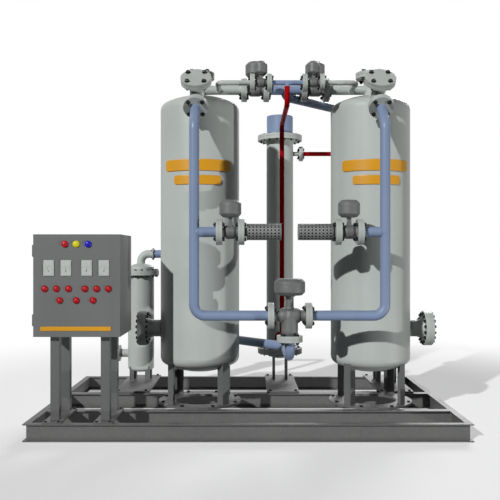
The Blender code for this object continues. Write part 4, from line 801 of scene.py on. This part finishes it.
def makeThreeWayValve():
    t, barrel, bonnet, leg = threeWay, threeWay["barrel"], threeWay["bonnet"], threeWay["leg"]
    centre = at(middleX, layout["riserY"], layout["inletZ"])
    thick = flangeKinds["main"]["thickness"]
    backFace, footFace = routes["threeWayHalf"] - thick, thick - routes["threeWayDrop"]
    taper, top, wide = barrel - t["neck"], t["bonnetTop"] - gap, bonnet + t["rim"]
    half = [(t["neck"] + t["flare"], backFace + 0.004), (t["neck"], backFace - t["flare"]),
            (t["neck"], t["barrelHalf"] + taper / 2), (barrel - taper / 3, t["barrelHalf"]),
            (barrel, t["barrelHalf"] - taper)]
    legProfile = [(0, t["legRoot"]), (leg - t["legTaper"], t["legRoot"]), (leg, 0.0),
                  (leg, footFace + t["legEnd"]), (leg - t["legFoot"], footFace - 0.002),
                  (0, footFace - 0.002)]
    bonnetProfile = [(0, top), (wide, top), (wide, top - t["rim"]), (bonnet, top - t["rim"]),
                     (bonnet, barrel + t["skirt"]), (bonnet + t["skirt"], barrel - 0.006), (0, t["bonnetRoot"])]
    surfaces = [
        turned(mirroredProfile(half, backFace + bracket["end"]), centre, right, 72, 0.014, 5),
        turned(legProfile, centre, up, 72, 0.014, 5),
        turned(bonnetProfile, centre, up, 48, 0.003, 3),
    ]
    piece("threeWayBody", surfaces, valveCast, replaces=["inlet_valve"])
    foot = flange("main", centre - routes["threeWayDrop"] * up, up)
    makeValveEnds("threeWay", "", "main", centre, routes["threeWayHalf"], [foot])
    drum = drumSurface(centre + t["bonnetTop"] * up, t["drum"], t["tall"])
    piece("threeWayDrum", [drum], valveCast, replaces=["inlet_actuator"])


# Mufflers: a perforated tube round dark packing

muffler = dict(
    radius=0.0715, length=0.30, stub=0.041, stubLength=0.0190, columns=16, rows=9, hole=0.0092, wall=0.0022,
    margin=0.008, around=16, edge=1.12, capTall=0.006, capRim=0.009, capProud=0.0008, merge=0.0004, crease=40,
)


def perforatedTube(name, root, direction):
    # cells round and along the tube; each joins its square border to a round hole, bent round the tube:
    # root + along w + radius (cos a u + sin a v), with a = across / radius
    m, (u, v, w) = muffler, crossAxes(direction)
    cell = np.array([2 * np.pi * m["radius"] / m["columns"], (m["length"] - 2 * m["margin"]) / m["rows"]])
    turn = (np.arange(m["around"]) + 0.5) * 2 * np.pi / m["around"]
    ray = np.stack([np.cos(turn), np.sin(turn)], -1)
    square, hole = ray / np.abs(ray).max(1, keepdims=True) * cell / 2, ray * m["hole"]
    loops = np.array([square, (square + hole) / 2, hole * m["edge"], hole])
    places = np.stack(np.indices((m["columns"], m["rows"])), -1).reshape(-1, 2)
    flat = ((places + 0.5) * cell + [0, m["margin"]])[:, None, None] + loops[None]
    angle, along = flat[..., :1] / m["radius"], flat[..., 1:]
    points = root + along * w + m["radius"] * (np.cos(angle) * u + np.sin(angle) * v)
    grid = np.arange(points.size // 3).reshape(points.shape[:3])
    across = np.roll(grid, -1, axis=2)
    quads = np.stack([grid[:, :-1], across[:, :-1], across[:, 1:], grid[:, 1:]], -1)
    mesh = bpy.data.meshes.new(name)
    mesh.from_pydata(points.reshape(-1, 3).tolist(), [], quads.reshape(-1, 4).tolist())
    return finishMesh(mesh, m["merge"], m["crease"], (root, w))


def makeMuffler(letter, side):
    m, r, long, cap = muffler, muffler["radius"], muffler["length"], muffler["capTall"]
    inward = -side * right
    face = valveEnd("exhaust", side, -1)
    root = face + inward * (flangeKinds["main"]["thickness"] + m["stubLength"] + gap)
    name = f"mufflerTube{letter}"
    mesh = perforatedTube(name, root, inward)
    tube = piece(name, mesh, mufflerSteel, replaces=[f"muffler_{letter.lower()}"])
    wall = tube.modifiers.new("wall", "SOLIDIFY")
    wall.thickness, wall.offset = m["wall"], -1.0
    wide = r + m["capProud"]
    rim = [(0, cap), (r - 0.010, cap), (wide, m["capRim"]), (wide, 0.0), (r - 0.004, 0.0), (0, 0.0)]
    caps = [
        turned(rim, root, inward, 48, 0.0015, 3),
        turned(rim, root + inward * long, -inward, 48, 0.0015, 3),
        stub(face + inward * pipeEnd, root + inward * cap, m["stub"]),
    ]
    piece(f"mufflerCaps{letter}", caps, valveCast)
    core = turned([(r - cap, cap), (r - cap, long - cap)], root, inward)
    piece(f"mufflerPacking{letter}", [core], darkPacking)
    piece(f"mufflerFlange{letter}", [flange("main", face, inward)], flangePaint)


# Filters and heater, each on a foot plate with four legs

corners = ((-1, -1), (1, -1), (1, 1), (-1, 1))
legFoot = beamLevel + footPlates["tall"] - 0.002  # legs run a little into their plate


def angleLeg(x, y, sx, sy):
    # an angle section carried straight up, its outer corner away from the vessel's axis
    v, size, wall = vessels, vessels["legSize"], vessels["legWall"]
    ell = np.array([(0, 0), (size, 0), (size, wall), (wall, wall), (wall, size), (0, size), (0, 0)])
    reach = v["legOffset"] + size / 2
    outline = softCorners(ell * [-sx, -sy], 0.0012, 2)[:-1] + [x + sx * reach, y + sy * reach]
    return np.array([levelRing(outline, legFoot), levelRing(outline, v["legTop"])])


def makeStand(word, x, width, legs):
    f, half = footPlates, width / 2
    plate = block((x - half, f["front"], beamLevel), (x + half, f["rear"], beamLevel + f["tall"]), 0.004)
    piece(f"{word}Stand", [plate, *legs], steelPaint)


def plateBolts(x, width):
    f = footPlates
    places = [(x + way * width * f["boltSpread"], y) for way in (-1, 1) for y in f["bolts"]]
    return standingBolts(places, layout["beamTop"] + f["tall"], f["boltWidth"], f["tall"] + 0.010)


def openNozzle(place, direction):
    # outer pipe, flange and a blind bore, as one turned skin
    v, outer, wide, bore = vessels, pipe["radius"], vessels["nozzleRadius"], vessels["bore"]
    reach = v["nozzleReach"] - v["nozzleRoot"]
    low, face, deep = (reach - less for less in (v["nozzleThickness"], 0.002, v["boreDepth"]))
    raised = outer + v["raised"]
    profile = [(outer, 0.0), (outer, low), (wide, low), (wide, face), (raised, face), (raised, reach),
               (bore, reach), (bore, deep), (0.0005, deep)]
    return turned(profile, place + direction * v["nozzleRoot"], direction, 64, 0.0016, 3)


def makeFilter(word, side):
    v, x, outward, radius = vessels, vessels[f"{word}X"], side * right, vessels["radius"]
    thick = flangeKinds["filter"]["thickness"]
    joint, nozzle = at(x, filterY, v["jointZ"]), at(x, filterY, v["nozzleZ"])
    rim = [(radius, v["jointZ"] - thick / 2)]
    bowl = np.vstack([rim, seamRing(radius, v["seamZ"]), lowerHead(radius, v["low"])])
    surfaces = [
        turned(bowl, at(x, filterY, 0), up, 96),
        openNozzle(nozzle, outward),
        collar(nozzle + outward * (radius - 0.006), outward, pipe["radius"], 0.008),
        flange("filter", joint, -up),
    ]
    piece(f"{word}Bowl", surfaces, shellPaint, replaces=[word])
    makeStand(word, x, v["plateWidth"], [angleLeg(x, filterY, *corner) for corner in corners])
    head, top = dishedHead(radius), joint + up * thick
    dome = np.vstack([head + [0, v["collar"]], [(radius, -0.01)]])
    surfaces = [flange("filter", joint, up), turned(dome, top, up, 96)]
    if word == "prefilter":
        elbow = at(x + v["elbowReach"], filterY, v["elbowZ"])
        route = [top + up * 0.02, (x, filterY, v["elbowZ"]), elbow - right * v["elbowEnd"]]
        surfaces += [pipeRun(route, pipe["radius"], v["elbowBend"]), flange("thin", elbow, -right)]
    else:
        end = at(x, filterY, v["afterfilterJointZ"])
        surfaces += [stub(top, end - up * v["elbowEnd"], pipe["radius"]), flange("thin", end, -up)]
    surfaces.append(collar(top + up * (v["collar"] + head[0, 1] - 0.003), up, pipe["radius"], 0.008))
    piece(f"{word}Head", surfaces, shellPaint, replaces=[f"{word}_head"])
    bolts = jointBolts("filter", (joint, up)) + plateBolts(x, v["plateWidth"])
    piece(f"{word}Bolts", bolts, boltSteel)


def makeHeater():
    h, x, y = heaterSizes, middleX, heaterY
    thick, radius, r, tall = flangeKinds["heater"]["thickness"], h["radius"], h["housing"], h["housingTall"]
    joint, lowJoint = at(x, y, h["high"]), at(x, y, h["low"] + thick)
    rim, foot = [(radius, h["high"] - thick / 2)], [(radius, h["low"] + 0.01)]
    body = np.vstack([rim, seamRing(radius, h["seamZ"]), foot, lowerHead(radius, h["low"])])
    sideFace = at(x + h["nozzleReach"], y, routes["heaterNozzleZ"])
    frontFace = at(x, y - h["frontReach"], routes["hotLow"])
    half, reach = h["legWidth"] / 2, h["legOffset"]
    legs = [block((x + sx * reach - half, y + sy * reach - half, legFoot),
                  (x + sx * reach + half, y + sy * reach + half, h["low"] + 0.002)) for sx, sy in corners]
    makeStand("heater", x, h["plateWidth"], legs)
    surfaces = [
        turned(body, at(x, y, 0), up, 96),
        stub(at(x, y, sideFace[2]), sideFace - right * pipeEnd, pipe["small"]),
        collar(at(x + radius - 0.003, y, sideFace[2]), right, pipe["small"], 0.006),
        stub(at(x, y, frontFace[2]), frontFace + back * pipeEnd, pipe["small"]),
        flange("heater", joint, -up), flange("heater", lowJoint, -up), flange("heater", lowJoint, up),
        flange("small", sideFace, -right), flange("thin", frontFace, back),
    ]
    piece("heaterShell", surfaces, shellPaint, replaces=["heater"])
    piece("heaterCover", [flange("heater", joint, up)], shellPaint, replaces=["heater_head"])
    lid, groove = tall - 0.022, h["groove"]  # the lid meets the housing at a groove
    profile = [(0, tall), (r, tall), (r, lid + groove), (r - groove, lid), (r, lid - groove), (r, 0.0),
               (0, 0.0)]
    housing = turned(profile, joint + up * (thick - 0.001), up, 96, 0.003, 3)
    piece("heaterHousing", [housing], pipePaint)
    bolts = jointBolts("heater", (joint, up), (lowJoint, up)) + plateBolts(x, h["plateWidth"])
    bolts += boltCircle(joint + up * thick, up, r + 0.014, 12, 0.016, (0.004, 0.0))
    piece("heaterBolts", bolts, boltSteel)


# Control cabinet: the solid housing and door keep their shape, and get their fittings here

cabinet = dict(
    left=-1.821, width=0.736, front=-1.115, low=0.879, height=0.87, lampRow=0.083, lamps=(0.268, 0.364, 0.466),
    lamp=0.0301, lampTall=0.0212, lampCrown=0.018, meterRow=0.285, meters=(0.1325, 0.279, 0.454, 0.600),
    button=0.023, buttonProud=0.020, buttonShank=0.008, buttonCrown=0.016,
    barPlace=(0.36, 0.80), barSize=(0.60, 0.036), barCorner=0.008, barProud=0.006,
    sealInset=0.010, sealHalf=0.004, sealNear=0.010, sealFar=0.019,
)
guard = dict(clearance=0.0005, wide=0.0055, lip=0.0035, low=0.0005, shoulder=0.006, tall=0.0085)
meter = dict(
    width=0.087, height=0.131, proud=0.008, pivotBelow=0.20, caseEdge=0.002, faceX=0.010, faceY=0.012,
    ticks=11, firstTick=-50, tickStep=10, tickRadius=0.043, tickWidth=0.0014, longTick=0.009, shortTick=0.005,
    pointerLean=-22, pointerStep=14, pointerMiddle=0.017, pointerWidth=0.0016, pointerLong=0.034, hub=0.0045,
)
buttonRows = ((0.4615, (0.098, 0.198, 0.300, 0.439, 0.538, 0.637)), (0.560, (0.225, 0.366, 0.507)))
out = -back


def onDoor(across, down):
    c = cabinet
    return at(c["left"] + across, c["front"], c["low"] + c["height"] - down)


def doorPlate(spot, size, corner, thickness, edge, steps=4):
    # a rounded plate standing out from the door
    return prism(roundedRectangle(*size, corner, steps), spot, out, right, thickness, edge)


def domeProfile(radius, tall, crown):
    # a straight side, then a quarter ellipse over the crown: (radius sin a, tall - crown + crown cos a)
    a = np.linspace(np.pi / 2, 0.02, 12)
    side = [(0.0, 0.0), (radius - 0.0008, 0.0), (radius, 0.0008), (radius, tall - crown)]
    arc = np.stack([radius * np.sin(a), tall - crown + crown * np.cos(a)], -1)
    return np.vstack([side, arc[1:]])[::-1]


def dialMark(pivot, lean, middle, width, long, proud):
    # a small bar on the dial along the spoke sin(lean) right + cos(lean) up, the lean in degrees
    lean = math.radians(lean)
    spoke = math.sin(lean) * right + math.cos(lean) * up
    outline = roundedRectangle(width, long, width * 0.3, 2)
    flat = pivot + outline[:, :1] * np.cross(out, spoke) + (outline[:, 1:] + middle) * spoke
    return np.array([flat, flat + out * proud])


def makeButtons():
    c, g, rings = cabinet, guard, []
    spots = [onDoor(across, down) for down, places in buttonRows for across in places]
    profile = domeProfile(c["button"], c["buttonShank"] + c["buttonProud"], c["buttonCrown"])
    r = c["button"] + g["clearance"]
    wide = r + g["wide"]
    loop = [(r, -g["low"]), (wide, -g["low"]), (wide, g["shoulder"]), (r + g["lip"], g["tall"]), (r, g["tall"])]
    for number, spot in enumerate(spots, 1):
        cap = turned(profile, spot - out * c["buttonShank"], out, 40)
        piece(f"buttonCap{number}", [cap], buttonRed, f"button_{number}", [f"button_{number}"])
        rings.append(turned(loop, spot, out, 40))
    # guard rings round the buttons, in the button red darkened as painted shade for the buttons' shaded sides
    piece("buttonGuards", loftMesh("buttonGuards", rings, closed=True), guardRedPaintedShade, "door")


def makeMeters():
    m, faces, marks, frames = meter, [], [], []
    w, h, proud, hub = m["width"], m["height"], m["proud"], m["hub"]
    for index, across in enumerate(cabinet["meters"]):
        spot = onDoor(across, cabinet["meterRow"])
        caseSize, faceSize = (w + m["caseEdge"], h + m["caseEdge"]), (w - m["faceX"], h - m["faceY"])
        frames.append(doorPlate(spot - out * 0.001, caseSize, 0.004, proud + 0.0018, 0.0015))
        faces.append(doorPlate(spot + out * (proud + 0.0005), faceSize, 0.002, 0.0018, 0.0004, 3))
        pivot = spot + out * (proud + 0.0022) - up * h * m["pivotBelow"]
        for i in range(m["ticks"]):  # on an arc about the pointer's pivot, every fifth a long one
            long = m["shortTick"] if i % 5 else m["longTick"]
            lean = m["firstTick"] + m["tickStep"] * i
            marks.append(dialMark(pivot, lean, m["tickRadius"] - long / 2, m["tickWidth"], long, 0.0005))
        lean = m["pointerLean"] + m["pointerStep"] * index
        marks.append(dialMark(pivot, lean, m["pointerMiddle"], m["pointerWidth"], m["pointerLong"], 0.0009))
        marks.append(disc(pivot, out, hub, 0.0014, 0.0005, 24))
    piece("meterCases", frames, dialPale, "door")
    piece("meterFaces", faces, dialPale, "door")
    piece("meterMarks", marks, dialInk, "door")


def makeDoorFittings():
    c = cabinet
    makeButtons()
    lens = domeProfile(c["lamp"], c["lampTall"], c["lampCrown"])
    colours = dict(Red=buttonRed, Yellow=lampYellow, Blue=lampBlue)
    for (word, colour), across in zip(colours.items(), c["lamps"]):
        cap = turned(lens, onDoor(across, c["lampRow"]), out, 48)
        piece(f"lamp{word}", [cap], colour, "door")
    makeMeters()
    place = onDoor(*c["barPlace"]) - out * 0.001
    bar = doorPlate(place, c["barSize"], c["barCorner"], c["barProud"], 0.0015, 5)
    piece("doorBar", [bar], orangePaint, "door")
    # a strip along each edge of the door's rear face
    inset, half = c["sealInset"], c["sealHalf"]
    near, far = c["front"] + c["sealNear"], c["front"] + c["sealFar"]
    x0, x1 = c["left"] + inset, c["left"] + c["width"] - inset
    z0, z1 = c["low"] + inset, c["low"] + c["height"] - inset
    edges = ((x0, z0, x1, z0), (x1, z0, x1, z1), (x0, z1, x1, z1), (x0, z0, x0, z1))
    seals = [block((a - half, near, b - half), (d + half, far, e + half)) for a, b, d, e in edges]
    piece("doorSeal", seals, darkPacking, "door")


# What stands on the mounting plate; a row is its height and its relays' width, height, depth and spacing

inside = dict(
    plate=0.522, margin=0.11, sunk=0.0005, first=0.012, last=0.05, railTall=0.035, railDeep=0.0075,
    relayRoot=0.007, ductRows=(1.665, 1.46, 1.26, 1.06), ductTall=0.036, ductDeep=0.055,
    rows=((1.56, 0.045, 0.085, 0.080, 0.004), (1.36, 0.018, 0.080, 0.070, 0.0012),
          (1.16, 0.008, 0.060, 0.045, 0.0012)),
)


def makeCabinetInside():
    # rails with relays and terminals, and wire ducts between them
    c, n = cabinet, inside
    face = c["front"] + n["plate"]
    left, end = c["left"] + n["margin"], c["left"] + c["width"] - n["margin"]

    def standing(x0, x1, z, tall, deep, root=-n["sunk"], radius=0.002):
        return block((x0, face - deep, z - tall / 2), (x1, face - root, z + tall / 2), radius)

    relays, root = [], n["relayRoot"]
    for z, wide, tall, deep, space in n["rows"]:
        for x in np.arange(left + n["first"], end - n["last"], wide + space):
            relays.append(standing(x, x + wide, z, tall, root + deep, root, 0.0015))
    rails = [standing(left, end, row[0], n["railTall"], n["railDeep"]) for row in n["rows"]]
    ducts = [standing(left, end, z, n["ductTall"], n["ductDeep"]) for z in n["ductRows"]]
    piece("cabinetRails", rails, bezelSteel)
    piece("cabinetRelays", relays, dialInk)
    piece("cabinetDucts", ducts, dialPale)


# Hold-down bolts, and the solid nodes that keep their shape

feet = dict(
    ring=0.372, ringCount=8, ringPlate=0.02, ringBolt=0.026,
    barX=(-1.658, -1.226), barY=(-1.128, -0.605), barSpread=0.055, barPlate=0.012, barBolt=0.020,
)
keptNodes = {
    steelPaint: ("skid_frame", "stand_a", "stand_b", "cabinet_stand_left", "cabinet_stand_right"),
    cabinetPaint: ("cabinet", "door"),
}


def makeFeet():
    # a circle of bolts through each base ring, and two through each end of the cabinet's foot bars
    f, rings = feet, []
    for side in (-1, 1):
        angle = 2 * np.pi * (np.arange(f["ringCount"]) + 0.5) / f["ringCount"]
        spoke = np.stack([np.cos(angle), np.sin(angle)], -1)
        rings += list(towerAt(side, 0)[:2] + f["ring"] * spoke)
    bars = [(x + way * f["barSpread"], y) for x in f["barX"] for y in f["barY"] for way in (-1, 1)]
    bolts = standingBolts(rings, beamLevel + f["ringPlate"], f["ringBolt"], f["ringPlate"])
    bolts += standingBolts(bars, beamLevel + f["barPlate"], f["barBolt"], f["barPlate"])
    piece("footBolts", bolts, boltSteel)


def dressNodes():
    for finish, names in keptNodes.items():
        for name in names:
            slots = nodes[name].data.materials
            slots.clear()
            slots.append(finish)


sides = (("A", -1), ("B", 1))
for letter, side in sides:
    makeTower(letter, side)
    for word in valvePlaces:
        makeValve(word, letter, side)
    makeMuffler(letter, side)
makeThreeWayValve()
print("towers, valves and mufflers made")
for make in (makeBars, makeRiser):
    for place in sides:
        make(*place)
makeLines()
print("pipework made")
makeFilter("prefilter", -1)
makeFilter("afterfilter", 1)
makeHeater()
makeDoorFittings()
makeCabinetInside()
makeFeet()
dressNodes()
print("vessels, cabinet and feet made")

# Camera, floor and light

cameraSizes = dict(lens=50.0, sensor=36.0, place=(0.0, -6.995, 1.576), shiftX=0.0036, shiftY=0.0094)
floorSizes = dict(reach=60.0, low=-0.002, pale=0.90, drift=0.01, bounce=0.09, near=3.0, far=7.0, glow=0.35)
# direction of each lamp from the dryer, its strength (pi renders a colour as written), its width in degrees
lamps = dict(
    key=dict(towards=(-0.494, -0.745, 0.449), strength=3.3, width=1.2),
    side=dict(towards=(0.907, -0.421, -0.335), strength=1.45, width=1.0),
    rear=dict(towards=(0.30, 0.80, 0.50), strength=1.7, width=20.0),
)
lampDistance = 8.0
skyTone, skyStrength = (0.95, 0.97, 1.0), 0.05
white = (1.0, 1.0, 1.0)


def makeCamera():
    view = bpy.data.cameras.new("camera")
    view.lens, view.sensor_width = cameraSizes["lens"], cameraSizes["sensor"]
    view.shift_x, view.shift_y = cameraSizes["shiftX"], cameraSizes["shiftY"]
    camera = placed("camera", view)
    camera.location = cameraSizes["place"]
    camera.rotation_euler = (math.pi / 2, 0.0, 0.0)
    bpy.context.scene.camera = camera


def seenDirectly(finish):
    # 1 for the rays that see the background: camera, mirror and see-through rays
    kinds = [finish.node("ShaderNodeLightPath", {}, {}, f"Is {word} Ray")
             for word in ("Camera", "Glossy", "Transmission")]
    return kinds[0].maths("MAXIMUM", kinds[0].maths("MAXIMUM", kinds[0], kinds[1]), kinds[2])


def makeFloor():
    # pale floor with the dryer's shadow on it, turning into the white background further away
    f, mesh = floorSizes, bpy.data.meshes.new("floor")
    points = [(sx * f["reach"], sy * f["reach"], f["low"]) for sx, sy in corners]
    mesh.from_pydata(points, [], [(0, 1, 2, 3)])
    floor = placed("floor", mesh)
    floor.visible_shadow = False  # the side lamp stands low and shines up past the floor
    finish = Finish("pale floor")
    drift = finish.noise(0.6, 2.0)
    tone = finish.toned(drift, white, f["pale"] - f["drift"], f["pale"] + f["drift"])
    pale = finish.node("ShaderNodeBsdfDiffuse", {}, {"Color": tone})
    glow = finish.node("ShaderNodeEmission", {}, {"Color": rgb(white), "Strength": 1.0})
    away = finish.node("ShaderNodeVectorMath", {"operation": "LENGTH"}, {0: finish.place()}, "Value")
    fade = finish.node("ShaderNodeMapRange", {"interpolation_type": "SMOOTHSTEP"}, {
        "Value": away, "From Min": f["near"], "From Max": f["far"], "To Min": f["glow"],
    })
    seen = finish.node("ShaderNodeMixShader", {}, {0: fade, 1: pale, 2: glow})
    bounce = finish.node("ShaderNodeBsdfDiffuse", {}, {"Color": rgb(white, f["bounce"])})
    both = finish.node("ShaderNodeMixShader", {}, {0: seenDirectly(finish), 1: bounce, 2: seen})
    finish.node("ShaderNodeOutputMaterial", {}, {"Surface": both})
    mesh.materials.append(finish.owner)


def makeLamps():
    for name, sizes in lamps.items():
        data = bpy.data.lights.new(name, "SUN")
        data.energy, data.angle = sizes["strength"], math.radians(sizes["width"])
        lamp, towards = placed(name, data), Vector(sizes["towards"])
        lamp.location = lampDistance * towards
        lamp.rotation_euler = towards.to_track_quat("Z", "Y").to_euler()


def makeWorld():
    world = bpy.data.worlds.new("studio")
    bpy.context.scene.world = world
    finish = Finish(world)
    background = finish.node("ShaderNodeBackground", {}, {"Color": rgb(white), "Strength": 1.0})
    soft = finish.node("ShaderNodeBackground", {}, {"Color": rgb(skyTone), "Strength": skyStrength})
    both = finish.node("ShaderNodeMixShader", {}, {0: seenDirectly(finish), 1: soft, 2: background})
    finish.node("ShaderNodeOutputWorld", {}, {"Surface": both})


makeCamera()
makeFloor()
makeLamps()
makeWorld()
bpy.context.scene.view_settings.view_transform = "Standard"
print("camera and light set")
